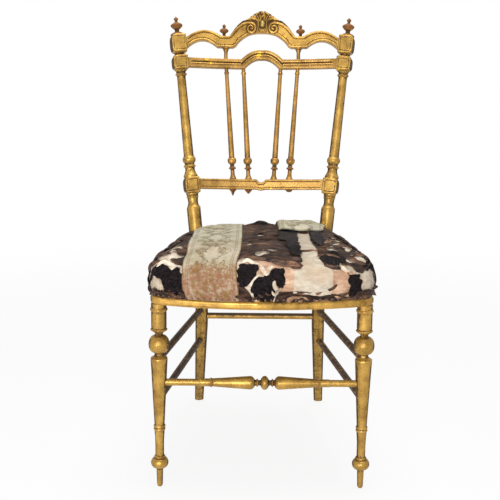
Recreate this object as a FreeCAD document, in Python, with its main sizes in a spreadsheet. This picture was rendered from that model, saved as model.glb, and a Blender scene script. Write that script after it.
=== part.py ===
import FreeCAD, Part
import math
import os
import Sketcher
from FreeCAD import Placement, Rotation, Vector

# A gilt ballroom side chair: turned legs, raked turned posts, three curved back rails,
# four spindles, a bowed seat frame and a stuffed seat under worn silk and brocade.
# The front is towards -Y, +Z is up, and the chair stands on the plane Z = 0.

doc = FreeCAD.newDocument("SideChair")
sheet = doc.addObject("Spreadsheet::Sheet", "Sizes")


class Length:
    """A length or an angle that keeps both its value and the sheet expression behind it."""

    def __init__(self, value, text):
        self.value = value
        self.text = text

    def joined(self, other, sign, value):
        return Length(value, "(" + self.text + sign + words(other) + ")")

    def __add__(self, other):
        return self.joined(other, " + ", self.value + number(other))

    def __sub__(self, other):
        return self.joined(other, " - ", self.value - number(other))

    def __mul__(self, other):
        return self.joined(other, " * ", self.value * number(other))

    def __truediv__(self, other):
        return self.joined(other, " / ", self.value / number(other))

    def __neg__(self):
        return Length(-self.value, "(0 - " + self.text + ")")

    __rmul__ = __mul__


def number(thing):
    return thing.value if isinstance(thing, Length) else float(thing)


def words(thing):
    return thing.text if isinstance(thing, Length) else repr(float(thing))


def root(area):
    return Length(math.sqrt(area.value), "sqrt(" + area.text + ")")


def sine(angle):
    return Length(math.sin(math.radians(angle.value)), "sin(" + angle.text + ")")


def cosine(angle):
    return Length(math.cos(math.radians(angle.value)), "cos(" + angle.text + ")")


def tangent(angle):
    return Length(math.tan(math.radians(angle.value)), "tan(" + angle.text + ")")


class Sizes:
    """The driving dimensions, each a named cell of the sheet."""

    rows = 0

    def set(self, name, value):
        Sizes.rows += 1
        cell = "B" + str(Sizes.rows)
        sheet.set("A" + str(Sizes.rows), name)
        sheet.set(cell, str(value))
        sheet.setAlias(cell, name)
        setattr(self, name, Length(float(value), "Sizes." + name))

    def work_out(self, name, length):
        """A size that follows from the others, kept in a cell of its own."""
        self.set(name, number(length))
        return getattr(self, name)


size = Sizes()
ZERO = Length(0.0, "0")
NEARLY_ZERO = 1e-9

# The driving sizes, in millimetres and degrees.

driving_sizes = {
    # Fits between the pieces
    "joint_clearance": 0.15,
    "cloth_clearance": 0.3,
    "cut_overrun": 2,
    "trim_overrun": 6,
    "post_cut_start": 45,
    "post_cut_length": 130,
    # Front legs
    "front_leg_inset": 15.5,
    "front_leg_splay": 2.5,
    "front_leg_length": 372.5,
    "front_leg_radius": 19.9,
    "leg_tenon_radius": 7,
    "leg_tenon_length": 20,
    # Seat frame
    "nosing_thickness": 16.5,
    "nosing_round": 6,
    "nosing_overhang": 4,
    "edge_tolerance": 0.001,
    "seat_frame_height": 40,
    "front_rail_bow": 30,
    "front_rail_half_width": 209.5,
    "front_rail_reach": 52,
    "front_corner_reach": 18.5,
    "seat_taper_angle": 8.47,
    "front_rail_width": 34,
    "front_rail_return": 28,
    "side_rail_width": 24,
    "side_rail_tenon_length": 14,
    "back_rail_width": 22,
    "rail_tenon_width": 10,
    "rail_tenon_height": 24,
    "rail_tenon_depth": 10,
    # Rear posts
    "seat_depth": 360,
    "rear_post_inset": 15.55,
    "post_reference_height": 382,
    "back_rake_angle": 10.8,
    "back_splay_angle": 5.9,
    "back_turn_angle": 15,
    "post_radius": 15.6,
    "post_block_side": 34,
    "lower_block_drop": 9.7,
    "lower_block_height": 35.6,
    "middle_block_drop": 6.8,
    "middle_block_height": 30.9,
    "top_block_drop": 23.2,
    "top_block_height": 39.9,
    "block_chamfer": 1.5,
    "rear_leg_radius": 14.4,
    "rear_foot_radius": 10.4,
    "rear_foot_splay": 5.5,
    "rear_foot_setback": 104,
    "rear_leg_bend_height": 285,
    "rear_leg_bend_run": 75,
    # Back rails
    "back_rail_thickness": 17,
    "back_tenon_thickness": 8,
    "back_tenon_length": 11,
    "short_spindle_opening": 23.05,
    "crest_band_height": 24.5,
    "spindle_opening": 252.6,
    "arched_rail_width": 21.4,
    "arched_rail_rise": 20.5,
    "arched_rail_half_arch": 40,
    "lower_rail_height": 155.5,
    "lower_rail_width": 23.5,
    "lower_rail_notch_half_width": 11,
    "lower_rail_notch_depth": 7,
    "crest_carving_height": 28.5,
    "crest_carving_relief": 4,
    "shield_half_width": 14,
    "cabochon_radius": 7.5,
    "cabochon_relief": 4,
    # Turned pieces of the back
    "spindle_radius": 10.5,
    "spindle_tenon_radius": 3.2,
    "spindle_tenon_length": 8,
    "outer_spindle_foot": 64.3,
    "outer_spindle_head": 81.5,
    "inner_spindle_foot": 28.8,
    "inner_spindle_head": 42.5,
    "short_spindle_radius": 8.6,
    "post_finial_height": 41.5,
    "post_finial_radius": 14,
    "crest_finial_height": 28.3,
    "crest_finial_radius": 9.9,
    "drop_radius": 8.4,
    "drop_tenon_radius": 3,
    "drop_tenon_length": 6,
    "long_drop_length": 14.7,
    "blunt_drop_length": 9.8,
    "broken_drop_length": 5,
    # Stretchers
    "front_stretcher_height": 215,
    "front_stretcher_radius": 13.4,
    "front_stretcher_shift": 7,
    "front_stretcher_turned_half": 125,
    "side_stretcher_radius": 7,
    "upper_side_stretcher_height": 262,
    "lower_side_stretcher_height": 182,
    "back_stretcher_height": 244,
    "back_stretcher_radius": 7,
    "stretcher_tip_gap": 4.5,
    # Seat
    "webbing_width": 50,
    "webbing_thickness": 1.6,
    "hessian_thickness": 1,
    "pad_height": 89,
    "pad_side_overhang": 6.5,
    "pad_front_overhang": 6,
    "pad_back_overhang": 18,
    "pad_rear_spread": 28.5,
    "pad_corner_cut": 30,
    "webbing_reach": 22,
    "hessian_margin": 3,
    "cover_thickness": 1.2,
    "hem_height": 3,
    "remnant_depth": 33,
    "remnant_thickness": 4,
}
for name, value in driving_sizes.items():
    size.set(name, value)

doc.recompute()


def bind(thing, name, length):
    """Tie one property of an object to the sheet."""
    thing.setExpression(name, words(length))


def origin_part(body, role):
    return [part for part in body.Origin.OriginFeatures if part.Role == role][0]


def run_between(first, last, rise):
    """One run of an outline; a rise bows it to the right of its way."""
    start = Vector(number(first[0]), number(first[1]), 0)
    end = Vector(number(last[0]), number(last[1]), 0)
    if rise is None:
        return Part.LineSegment(start, end)
    way = end - start
    side = Vector(way.y, -way.x, 0).normalize()
    return Part.Arc(start, (start + end) / 2 + side * number(rise), end)


def outline(body, plane, corners, offset=None):
    """A closed outline; a corner is (across, along) or, where a bowed run leads to it, with its rise."""
    sketch = body.newObject("Sketcher::SketchObject", "Outline")
    sketch.AttachmentSupport = (origin_part(body, plane), [""])
    sketch.MapMode = "FlatFace"
    if offset is not None:
        sketch.AttachmentOffset = offset
    add_loop(sketch, corners)
    return sketch


def add_loop(sketch, corners):
    first_run = sketch.GeometryCount
    count = len(corners)
    ends = []
    for i, corner in enumerate(corners):
        rise = corner[2] if len(corner) > 2 else None
        sketch.addGeometry(run_between(corners[i - 1], corner, rise), False)
        turned = rise is not None and number(rise) < 0
        ends.append((2, 1) if turned else (1, 2))
    for i, corner in enumerate(corners):
        run = first_run + i
        following = first_run + (i + 1) % count
        begin = ends[(i + 1) % count][0]
        sketch.addConstraint(Sketcher.Constraint("Coincident", run, ends[i][1], following, begin))
        for axis, kind, place in ((-2, "DistanceX", corner[0]), (-1, "DistanceY", corner[1])):
            if abs(number(place)) < NEARLY_ZERO:
                sketch.addConstraint(Sketcher.Constraint("PointOnObject", run, ends[i][1], axis))
                continue
            made = sketch.addConstraint(Sketcher.Constraint(kind, run, ends[i][1], number(place)))
            bind(sketch, "Constraints[" + str(made) + "]", place)
        if len(corner) > 2:
            width = corner[0] - corners[i - 1][0]
            height = corner[1] - corners[i - 1][1]
            rise = corner[2] if number(corner[2]) > 0 else -corner[2]
            radius = ((width * width + height * height) / 4 + rise * rise) / (rise * 2)
            made = sketch.addConstraint(Sketcher.Constraint("Radius", run, number(radius)))
            bind(sketch, "Constraints[" + str(made) + "]", radius)


bodies = {}
HOLLOW_STEPS = ((0.5, 1.0),)
BALL_STEPS = ((0.15, 0.71), (0.5, 1.0), (0.85, 0.71))
BALL_SHARE = 0.25


def new_body(name, placement=None):
    body = doc.addObject("PartDesign::Body", name)
    body.Label = name
    body.Placement = placement or Placement()
    bodies[name] = body
    return body


def pad(body, sketch, length, both_ways=False):
    feature = body.newObject("PartDesign::Pad", "Pad")
    feature.Profile = sketch
    bind(feature, "Length", length)
    feature.Midplane = both_ways
    return feature


def turned(body, corners):
    """Turn a profile of (radius, height) corners about the body's own Z axis."""
    closed = [(ZERO, corners[0][1])] + corners + [(ZERO, corners[-1][1])]
    feature = body.newObject("PartDesign::Revolution", "Turning")
    feature.Profile = outline(body, "XZ_Plane", closed)
    feature.ReferenceAxis = (feature.Profile[0], ["V_Axis"])
    feature.Angle = 360
    return feature


def profile(shares, start, length, radius):
    """The corners of a turning from shares of its length and of its radius.

    A third share swells the run that leads to a row, or hollows it where it is below zero.
    A small swell takes one corner at its middle, and a ball takes three round its half circle.
    """
    corners = []
    for i, row in enumerate(shares):
        steps = ()
        if len(row) > 2:
            steps = BALL_STEPS if row[2] > BALL_SHARE else HOLLOW_STEPS
        for up, out in steps:
            before = shares[i - 1]
            height = before[0] + (row[0] - before[0]) * up
            width = before[1] + (row[1] - before[1]) * up + row[2] * out
            corners.append((radius * width, start + length * height))
        corners.append((radius * row[1], start + length * row[0]))
    return corners


def local(body, placement):
    return body.Placement.inverse() * placement


def along(start, end, hint=None):
    """A placement at the start whose Z axis points to the end."""
    axis = (end - start).normalize()
    across = hint or Vector(1, 0, 0)
    side = axis.cross(across).normalize()
    return Placement(start, Rotation(side.cross(axis), side, axis, "ZXY"))


def drill(body, placement, radius, depth):
    """A round socket that starts at the placement and runs along its Z axis."""
    hole = body.newObject("PartDesign::SubtractiveCylinder", "Socket")
    bind(hole, "Radius", radius)
    bind(hole, "Height", depth)
    hole.Placement = local(body, placement)
    return hole


def box(body, kind, placement, length, width, height):
    """A box centred on the placement's X and Y that runs along its Z axis."""
    block = body.newObject("PartDesign::" + kind, "Block")
    bind(block, "Length", length)
    bind(block, "Width", width)
    bind(block, "Height", height)
    shift = Placement(Vector(-number(length) / 2, -number(width) / 2, 0), Rotation())
    block.Placement = local(body, placement * shift)
    return block


# Frames and lines that the pieces share

rail_underside = size.front_leg_length
frame_top = rail_underside + size.seat_frame_height
nosing_top = rail_underside + size.nosing_thickness
half_leg_spacing = size.front_rail_half_width - size.front_leg_inset
half_block = size.post_block_side / 2
SIDES = (("left", -1), ("right", 1))
UP = Vector(0, 0, 1)

# The seat frame narrows to the back along two straight side lines. The bow of its front runs
# into each side line in an arc that touches both.

bow_chord = size.front_rail_half_width - size.front_corner_reach
bow_radius = (bow_chord * bow_chord + size.front_rail_bow * size.front_rail_bow) / (size.front_rail_bow * 2)
bow_end = math.degrees(math.asin(number(bow_chord) / number(bow_radius)))
side_way = 90 + number(size.seat_taper_angle)
corner_way = math.radians((bow_end + side_way) / 2)
corner_run = math.tan(corner_way)
corner_chord = number(size.front_corner_reach) / math.cos(corner_way)
front_corner_end = size.work_out(
    "front_corner_end", size.front_rail_bow - size.front_rail_reach + size.front_corner_reach * corner_run)
front_corner_rise = size.work_out(
    "front_corner_rise", corner_chord / 2 * math.tan(math.radians((side_way - bow_end) / 4)))


def side_line(back):
    """How far out the side of the nosing stands at a distance behind the front legs."""
    return size.front_rail_half_width - (back - size.front_corner_end) * tangent(size.seat_taper_angle)


half_post_spacing = side_line(size.seat_depth) - size.rear_post_inset


def front_leg_frame(side):
    foot = Vector(side * number(half_leg_spacing + size.front_leg_splay), 0, 0)
    head = Vector(side * number(half_leg_spacing), 0, number(rail_underside))
    return along(foot, head)


def front_leg_point(side, height):
    """The middle of a front leg at a height above the floor."""
    share = height / number(rail_underside)
    across = number(half_leg_spacing) + number(size.front_leg_splay) * (1 - share)
    return Vector(side * across, 0, height)


def post_frame(side):
    """The post's own frame: Z up along its axis, X outwards along the rails that meet it."""
    base = Vector(side * number(half_post_spacing), number(size.seat_depth),
                  number(size.post_reference_height))
    lean = number(tangent(size.back_rake_angle))
    axis = Vector(side * number(tangent(size.back_splay_angle)), lean, 1).normalize()
    outwards = Vector(side * number(cosine(size.back_turn_angle)), -number(sine(size.back_turn_angle)), 0)
    back = axis.cross(outwards).normalize()
    return Placement(base, Rotation(back.cross(axis), back, axis, "ZXY"))


def post_place(side, height, out=0.0):
    """The frame of the post moved up its axis and out along its blocks."""
    return post_frame(side) * Placement(Vector(number(out), 0, number(height)), Rotation())


def post_point(side, level):
    """The middle of the post at a height above the floor, near the seat."""
    frame = post_frame(side)
    axis = frame.Rotation.multVec(UP)
    return frame.Base + axis * ((level - frame.Base.z) / axis.z)


back_frame = Placement(Vector(0, number(size.seat_depth), number(size.post_reference_height)),
                       Rotation(Vector(1, 0, 0), -number(size.back_rake_angle)))


def up_the_post(height):
    """The place along the post's axis that stands level with a height up the back."""
    spread = tangent(size.back_splay_angle) * cosine(size.back_rake_angle)
    return height * root(spread * spread + 1)


def rail_half_span(height):
    """Half the distance between the post axes at a height up the back."""
    return half_post_spacing + height * cosine(size.back_rake_angle) * tangent(size.back_splay_angle)


def rail_bow(height):
    """How far the middle of a rail stands behind its ends."""
    radius = rail_half_span(height) / sine(size.back_turn_angle)
    return radius - radius * cosine(size.back_turn_angle)


def back_point(across, height, rail_height):
    """A point on the middle of the rail that lies at rail_height, carried to another height."""
    half = number(rail_half_span(rail_height))
    bow = number(rail_bow(rail_height))
    radius = (half * half + bow * bow) / (2 * bow)
    depth = math.sqrt(radius * radius - number(across) ** 2) - radius + bow
    return back_frame.multVec(Vector(number(across), depth, number(height)))


# Heights up the back, in one chain from the lower rail to the crest.
# A crest flat share is a share of the band's height, down from the crest.

crest_flat_shares = (1.12, 2.30)
crest_middle_share = 1.88
lower_rail_top = size.lower_rail_height + size.lower_rail_width
lower_rail_middle = size.lower_rail_height + size.lower_rail_width / 2
arched_low = size.work_out("arched_rail_height", lower_rail_top + size.spindle_opening)
arched_top = arched_low + size.arched_rail_width
arched_middle = arched_low + size.arched_rail_width / 2
under_crest = size.work_out("under_crest_height", arched_top + size.short_spindle_opening)
crest_top = size.work_out("crest_height", under_crest + size.crest_band_height * crest_flat_shares[1])
crest_middle = crest_top - size.crest_band_height * crest_middle_share
crest_span = size.work_out("crest_half_span", rail_half_span(crest_middle))
lower_block_start = size.work_out("lower_block_start",
                                  up_the_post(size.lower_rail_height) - size.lower_block_drop)
middle_block_start = size.work_out("middle_block_start",
                                   up_the_post(arched_low) - size.middle_block_drop)
top_block_start = size.work_out("top_block_start", up_the_post(crest_middle) - size.top_block_drop)
post_length = top_block_start + size.top_block_height


def rear_leg_line():
    """The bend, the foot and the unit ways of the rear leg on the right."""
    axis = post_frame(1).Rotation.multVec(UP)
    bend = post_point(1, number(size.rear_leg_bend_height))
    foot = Vector(number(half_post_spacing + size.rear_foot_splay),
                  number(size.seat_depth + size.rear_foot_setback), 0)
    return bend, foot, axis, (foot - bend).normalize()


def rear_leg_point(side, height):
    """Centre of the rear leg at a height above the floor."""
    bend, foot, axis, down = rear_leg_line()
    run = number(size.rear_leg_bend_run)
    end = bend + down * run
    if height < end.z:
        centre = foot + (end - foot) * (height / end.z)
        return Vector(side * centre.x, centre.y, centre.z)
    turn = axis.getAngle(-down)
    radius = run / math.tan(turn / 2)
    hub = bend + (axis + down).normalize() * (radius / math.cos(turn / 2))
    start_arm = (bend + axis * run) - hub
    end_arm = end - hub
    low, high = 0.0, 1.0
    while high - low > NEARLY_ZERO:
        share = (low + high) / 2
        arm = start_arm * math.sin(turn * (1 - share)) + end_arm * math.sin(turn * share)
        centre = hub + arm / math.sin(turn)
        low, high = (share, high) if centre.z > height else (low, share)
    return Vector(side * centre.x, centre.y, centre.z)


# Front legs: a peg foot under a ball, a tapered shaft with a pair of rings and a flared shoulder,
# a large ball between two necks, and a barrel with a collar above a cup.

front_leg_shares = [
    (0.0, 0.20),
    (0.011, 0.28),
    (0.102, 0.33),
    (0.170, 0.40, 0.48),
    (0.252, 0.42),
    (0.311, 0.49),
    (0.316, 0.56),
    (0.324, 0.56),
    (0.329, 0.515),
    (0.334, 0.57),
    (0.343, 0.57),
    (0.349, 0.49),
    (0.703, 0.81),
    (0.708, 0.81),
    (0.730, 0.44, -0.10),
    (0.738, 0.44),
    (0.829, 0.37, 0.60),
    (0.834, 0.38),
    (0.854, 0.77, 0.08),
    (0.864, 0.83),
    (0.869, 0.73),
    (0.957, 0.73),
    (0.962, 0.84),
    (0.970, 0.84),
    (0.976, 0.73),
    (1.0, 0.74),
]

for name, side in SIDES:
    leg = new_body("front_leg_" + name, front_leg_frame(side))
    top = root(size.front_leg_length * size.front_leg_length + size.front_leg_splay * size.front_leg_splay)
    corners = profile(front_leg_shares, ZERO, top, size.front_leg_radius)
    corners.append((size.leg_tenon_radius, top))
    corners.append((size.leg_tenon_radius, top + size.leg_tenon_length))
    turned(leg, corners)

# Rear posts: one turned stick from the seat to the top block, square where rails meet it,
# and below the seat a plain round leg that bends back and out to the foot.

lower_post_shares = [
    (0.0, 1.0),
    (0.776, 1.0),
    (0.793, 0.90),
    (0.864, 0.72, -0.05),
    (0.930, 0.78),
    (0.939, 0.89),
    (0.953, 0.89),
    (0.960, 0.80),
    (1.0, 0.86),
]
upper_post_shares = [
    (0.0, 1.02),
    (0.020, 1.02),
    (0.030, 0.92),
    (0.072, 0.69, -0.04),
    (0.090, 0.72),
    (0.102, 0.91),
    (0.110, 0.91),
    (0.125, 0.72),
    (0.140, 0.79),
    (0.190, 0.97, 0.10),
    (0.202, 0.75),
    (0.940, 0.62),
    (0.948, 0.84),
    (0.962, 0.84),
    (0.972, 0.70),
    (1.0, 0.90),
]
waist_shares = [
    (0.0, 0.90),
    (0.25, 0.66),
    (0.75, 0.66),
    (1.0, 0.90),
]
post_finial_shares = [
    (0.0, 0.89),
    (0.19, 0.37, -0.12),
    (0.30, 0.36),
    (0.45, 0.90),
    (0.52, 1.0),
    (0.72, 0.26, 0.16),
    (0.77, 0.20),
    (0.86, 0.40),
    (1.0, 0.03),
]

middle_block_end = middle_block_start + size.middle_block_height
lower_block_end = lower_block_start + size.lower_block_height
block_rows = (
    (lower_block_start, size.lower_block_height),
    (middle_block_start, size.middle_block_height),
    (top_block_start, size.top_block_height),
)


def add_block(post, start, height):
    """A square block with its four ends eased, turned in to face along the rails."""
    inner = half_block - size.block_chamfer
    ease = size.block_chamfer
    corners = [(-half_block, start + ease), (-inner, start), (inner, start), (half_block, start + ease),
               (half_block, start + height - ease), (inner, start + height), (-inner, start + height),
               (-half_block, start + height - ease)]
    return pad(post, outline(post, "XZ_Plane", corners), size.post_block_side, True)


def rear_leg(post, side):
    """The plain leg below the seat: a bend of one radius, then a straight taper cut level at the floor."""
    bend, foot, axis, down = rear_leg_line()
    start = mirrored(bend + axis * number(size.rear_leg_bend_run), side)
    corner = mirrored(bend, side)
    sole = mirrored(foot, side)
    upwards = (start - corner).normalize()
    hinge = upwards.cross(sole - corner).normalize()
    place = Placement(start, Rotation(hinge.cross(upwards), hinge, upwards, "ZXY"))
    section = post.newObject("Sketcher::SketchObject", "Section")
    section.AttachmentSupport = (origin_part(post, "XY_Plane"), [""])
    section.MapMode = "FlatFace"
    section.AttachmentOffset = local(post, place)
    section.addGeometry(Part.Circle(Vector(), UP, number(size.rear_leg_radius)), False)
    section.addConstraint(Sketcher.Constraint("Coincident", 0, 3, -1, 1))
    made = section.addConstraint(Sketcher.Constraint("Radius", 0, number(size.rear_leg_radius)))
    bind(section, "Constraints[" + str(made) + "]", size.rear_leg_radius)
    reach = number(bend_radius)
    section.addGeometry(Part.LineSegment(Vector(reach, -reach, 0), Vector(reach, reach, 0)), True)
    section.addConstraint(Sketcher.Constraint("Vertical", 1))
    made = section.addConstraint(Sketcher.Constraint("DistanceX", 1, 1, reach))
    bind(section, "Constraints[" + str(made) + "]", bend_radius)
    curve = post.newObject("PartDesign::Revolution", "Bend")
    curve.Profile = section
    curve.ReferenceAxis = (section, ["Axis0"])
    bind(curve, "Angle", bend_angle)
    curve.Reversed = True
    end = corner + (sole - corner).normalize() * number(size.rear_leg_bend_run)
    run = size.work_out("rear_leg_taper_" + ("left" if side < 0 else "right"), (sole - end).Length)
    taper = post.newObject("PartDesign::AdditiveCone", "Taper")
    past = size.rear_foot_radius * 2
    bind(taper, "Radius1", size.rear_leg_radius)
    bind(taper, "Radius2", size.rear_foot_radius)
    bind(taper, "Height", run + past)
    taper.Placement = local(post, along(end, sole, UP))
    under = Placement(sole - UP * number(past * 2), Rotation())
    box(post, "SubtractiveBox", under, past * 2, past * 2, past * 2)


def mirrored(point, side):
    return Vector(side * point.x, point.y, point.z)


def ease(body, feature, radius, chosen):
    """Round the edges of a feature whose middles, in the chair's frame, are chosen."""
    names = []
    for i, edge in enumerate(feature.Shape.Edges):
        middle = edge.valueAt((edge.FirstParameter + edge.LastParameter) / 2)
        if chosen(body.Placement.multVec(middle)):
            names.append("Edge" + str(i + 1))
    rounding = body.newObject("PartDesign::Fillet", "Rounding")
    rounding.Base = (feature, names)
    bind(rounding, "Radius", radius)
    return rounding


bend_length = size.work_out("post_reference_to_bend",
                            post_frame(1).Base.distanceToPoint(rear_leg_line()[0]))
leg_start = size.rear_leg_bend_run - bend_length
bend_angle = size.work_out("rear_leg_bend_angle",
                           math.degrees(rear_leg_line()[2].getAngle(-rear_leg_line()[3])))
bend_radius = size.work_out("rear_leg_bend_radius",
                            size.rear_leg_bend_run.value / math.tan(math.radians(number(bend_angle) / 2)))

for name, side in SIDES:
    post = new_body("rear_post_" + name, post_frame(side))
    corners = [(size.rear_leg_radius, leg_start)]
    corners += profile(lower_post_shares, ZERO, lower_block_start, size.post_radius)
    corners += profile(upper_post_shares, lower_block_end, middle_block_start - lower_block_end,
                       size.post_radius)
    corners += profile(waist_shares, middle_block_end, top_block_start - middle_block_end, size.post_radius)
    corners += profile(post_finial_shares, post_length, size.post_finial_height,
                       size.post_finial_radius)
    turned(post, corners)
    for start, height in block_rows:
        add_block(post, start, height)
    rear_leg(post, side)

# Small finials, each with a round tenon under it.

crest_finial_shares = [
    (0.0, 0.57),
    (0.08, 0.36),
    (0.28, 0.36),
    (0.48, 1.0),
    (0.72, 0.25, 0.10),
    (0.87, 0.31),
    (1.0, 0.03),
]


def finial(name, place, shares, height, radius, tenon_radius, tenon_length):
    body = new_body(name, place)
    low = -tenon_length
    corners = [(tenon_radius, low), (tenon_radius, ZERO)]
    turned(body, corners + profile(shares, ZERO, height, radius))
    return body


# Back rails: three rails sawn to one curve in plan, each tenoned into the blocks of the posts.

def both_halves(half, closing_rise=None):
    """A whole outline from its right half; the mirrored runs keep the bow of their pair."""
    loop = list(half)
    rise = closing_rise
    for corner in reversed(half):
        mirrored = (-corner[0], corner[1])
        loop.append(mirrored if rise is None else mirrored + (rise,))
        rise = corner[2] if len(corner) > 2 else None
    return loop


def back_rail(name, height, low, high, half, closing_rise, tenon_height, block_start, block_height):
    """A rail of the back between the blocks, cut to its outline, with a tenon at each end."""
    body = new_body(name, back_frame)
    span = size.work_out(name + "_half_span", rail_half_span(height))
    bow = size.work_out(name + "_bow", rail_bow(height))
    front = -size.back_rail_thickness / 2
    back = size.back_rail_thickness / 2
    plan = [(-span, front), (span, front, -bow), (span, back), (-span, back, bow)]
    pad(body, outline(body, "XY_Plane", plan, Placement(Vector(0, 0, number(low)), Rotation())), high - low)
    margin = size.back_rail_thickness
    waste = outline(body, "XZ_Plane", [(-span - margin, low - margin), (span + margin, low - margin),
                                       (span + margin, high + margin), (-span - margin, high + margin)])
    add_loop(waste, both_halves(half, closing_rise))
    cut = body.newObject("PartDesign::Pocket", "Sawn")
    cut.Profile = waste
    cut.Type = 1
    cut.Midplane = True
    middle = up_the_post(height)
    for side_name, side in SIDES:
        box(body, "SubtractiveBox",
            post_place(side, block_start - size.trim_overrun, half_block - size.joint_clearance),
            size.post_block_side * 2, size.post_block_side * 2, block_height + size.trim_overrun * 2)
        tenon_low = middle - tenon_height / 2
        box(body, "AdditiveBox", post_place(side, tenon_low, -half_block),
            size.back_tenon_length * 2, size.back_tenon_thickness, tenon_height)
        post = bodies["rear_post_" + side_name]
        fit = size.joint_clearance
        depth = size.back_tenon_length + fit + size.cut_overrun
        out = -half_block + depth / 2 - size.cut_overrun
        box(post, "SubtractiveBox", post_place(side, tenon_low - fit, out),
            depth, size.back_tenon_thickness + fit * 2, tenon_height + fit * 2)
    return body


rail_tenon_share = 0.6

# Lower rail, with a round notch in the top over a small scallop.

scallop_share = 0.33

lower_end = rail_half_span(lower_rail_middle) + size.back_rail_thickness / 2
notch = size.lower_rail_notch_half_width
half = [(notch, lower_rail_top, size.lower_rail_notch_depth),
        (lower_end, lower_rail_top),
        (lower_end, size.lower_rail_height),
        (notch, size.lower_rail_height)]
lower_rail_low = size.lower_rail_height - size.lower_rail_notch_depth
lower_rail = back_rail("lower_back_rail", lower_rail_middle, lower_rail_low, lower_rail_top, half,
                       -size.lower_rail_notch_depth * scallop_share, size.lower_rail_width * rail_tenon_share,
                       lower_block_start, size.lower_block_height)

# Arched rail: straight from block to block, with a low arch over the middle.

arch_shoulder_share = 0.33
arched_end = rail_half_span(arched_middle) + size.back_rail_thickness / 2
half = [(size.arched_rail_half_arch + size.arched_rail_width * arch_shoulder_share, arched_top,
         -size.arched_rail_rise),
        (arched_end, arched_top),
        (arched_end, arched_low),
        (size.arched_rail_half_arch, arched_low)]
arched_rail = back_rail("arched_rail", arched_middle, arched_low,
                        arched_top + size.arched_rail_rise, half, size.arched_rail_rise,
                        size.arched_rail_width * rail_tenon_share, middle_block_start,
                        size.middle_block_height)

# Crest rail: a low arch at each side, a flat for the small finial, and a high arch in the middle.
# The shares are of the half span across, and of the band's height down from the crest.

crest_top_shares = [
    (0.189, 0.0),
    (0.210, -0.31),
    (0.262, -0.12),
    (0.335, 0.65, -0.10),
    (0.383, 1.12),
    (0.493, 1.12),
    (0.900, 1.38, -0.62),
    (1.03, 1.90),
]
crest_under_shares = [
    (1.03, 2.90),
    (0.900, 2.40),
    (0.540, 2.30, 0.70),
    (0.360, 2.30),
    (0.314, 2.18),
    (0.272, 1.69),
]
crest_arch_share = 0.69
shield_shares = (0.35, 0.45)
cabochon_share = 0.15
cabochon_shares = [
    (0.0, 1.0),
    (0.45, 0.85),
    (0.85, 0.50),
    (1.0, 0.12),
]

crest_slab_shares = (3.0, 0.35)
crest_tenon_share = 0.5

crest_low = crest_top - size.crest_band_height * crest_slab_shares[0]
crest_high = crest_top + size.crest_band_height * crest_slab_shares[1]


def crest_corners(shares):
    corners = []
    for row in shares:
        corner = (crest_span * row[0], crest_top - size.crest_band_height * row[1])
        if len(row) > 2:
            corner += (size.crest_band_height * row[2],)
        corners.append(corner)
    return corners


half = crest_corners(crest_top_shares + crest_under_shares)
crest_rail = back_rail("crest_rail", crest_middle, crest_low, crest_high, half,
                       size.crest_band_height * crest_arch_share, size.crest_band_height * crest_tenon_share,
                       top_block_start, size.top_block_height)

# Crest carving: a lobed shell on top of the middle arch with a shield below it on the rail's face,
# and a smooth oval boss set in the shield.

carving_shares = [
    (0.95, 0.0),
    (0.97, 0.28),
    (0.80, 0.45, -0.05),
    (0.53, 0.58),
    (0.40, 0.78, -0.05),
    (0.13, 0.96),
]
carving_foot = crest_top + size.joint_clearance
carving_span_share = 0.199
carving_span = crest_span * carving_span_share
half = [(carving_span * across, carving_foot + size.crest_carving_height * up) + tuple(
        size.crest_carving_height * rise for rise in bow) for across, up, *bow in carving_shares]
half[0] = half[0][:2]
crest_depth = size.work_out("crest_depth", rail_bow(crest_middle))
carving_place = back_frame * Placement(Vector(0, number(crest_depth), 0), Rotation())
carving = new_body("crest_carving", carving_place)
rail_face = -size.back_rail_thickness / 2
shield_face = rail_face - size.crest_carving_relief


def facing(depth):
    """The offset that moves an upright sketch to a depth behind the middle of the crest."""
    return Placement(Vector(0, 0, -number(depth)), Rotation())


shell = outline(carving, "XZ_Plane", both_halves(list(reversed(half))), facing(shield_face))
pad(carving, shell, size.back_rail_thickness + size.crest_carving_relief).Reversed = True
shield_low = crest_top - size.crest_band_height
shield = size.shield_half_width
half = [(shield, carving_foot),
        (shield, carving_foot - size.crest_band_height * shield_shares[0]),
        (shield * shield_shares[1], shield_low)]
plate = outline(carving, "XZ_Plane", both_halves(half), facing(shield_face))
pad(carving, plate, size.crest_carving_relief - size.joint_clearance).Reversed = True

boss_height = crest_top - size.crest_band_height * cabochon_share
boss_place = Placement(Vector(0, number(shield_face - size.joint_clearance), number(boss_height)),
                       Rotation(Vector(1, 0, 0), 90))
cabochon = new_body("crest_cabochon", carving_place * boss_place)
turned(cabochon, profile(cabochon_shares, ZERO, size.cabochon_relief, size.cabochon_radius))

# Spindles: four turned spindles between the lower rail and the arched rail, fanning upwards,
# and two short ones between the arched rail and the crest; all have round tenons.

spindle_shares = [
    (0.0, 0.70),
    (0.012, 0.70),
    (0.055, 0.44, -0.06),
    (0.088, 0.44),
    (0.100, 0.80),
    (0.108, 0.80),
    (0.119, 0.50),
    (0.134, 0.46),
    (0.193, 0.61, 0.46),
    (0.948, 0.40),
    (0.958, 0.52),
    (0.970, 0.52),
    (1.0, 0.42),
]
short_spindle_shares = [
    (0.0, 0.48),
    (0.62, 0.48),
    (0.80, 0.56),
    (1.0, 1.0),
]


short_spindle_place_share = 0.435
crest_finial_place_share = 0.458


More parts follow.
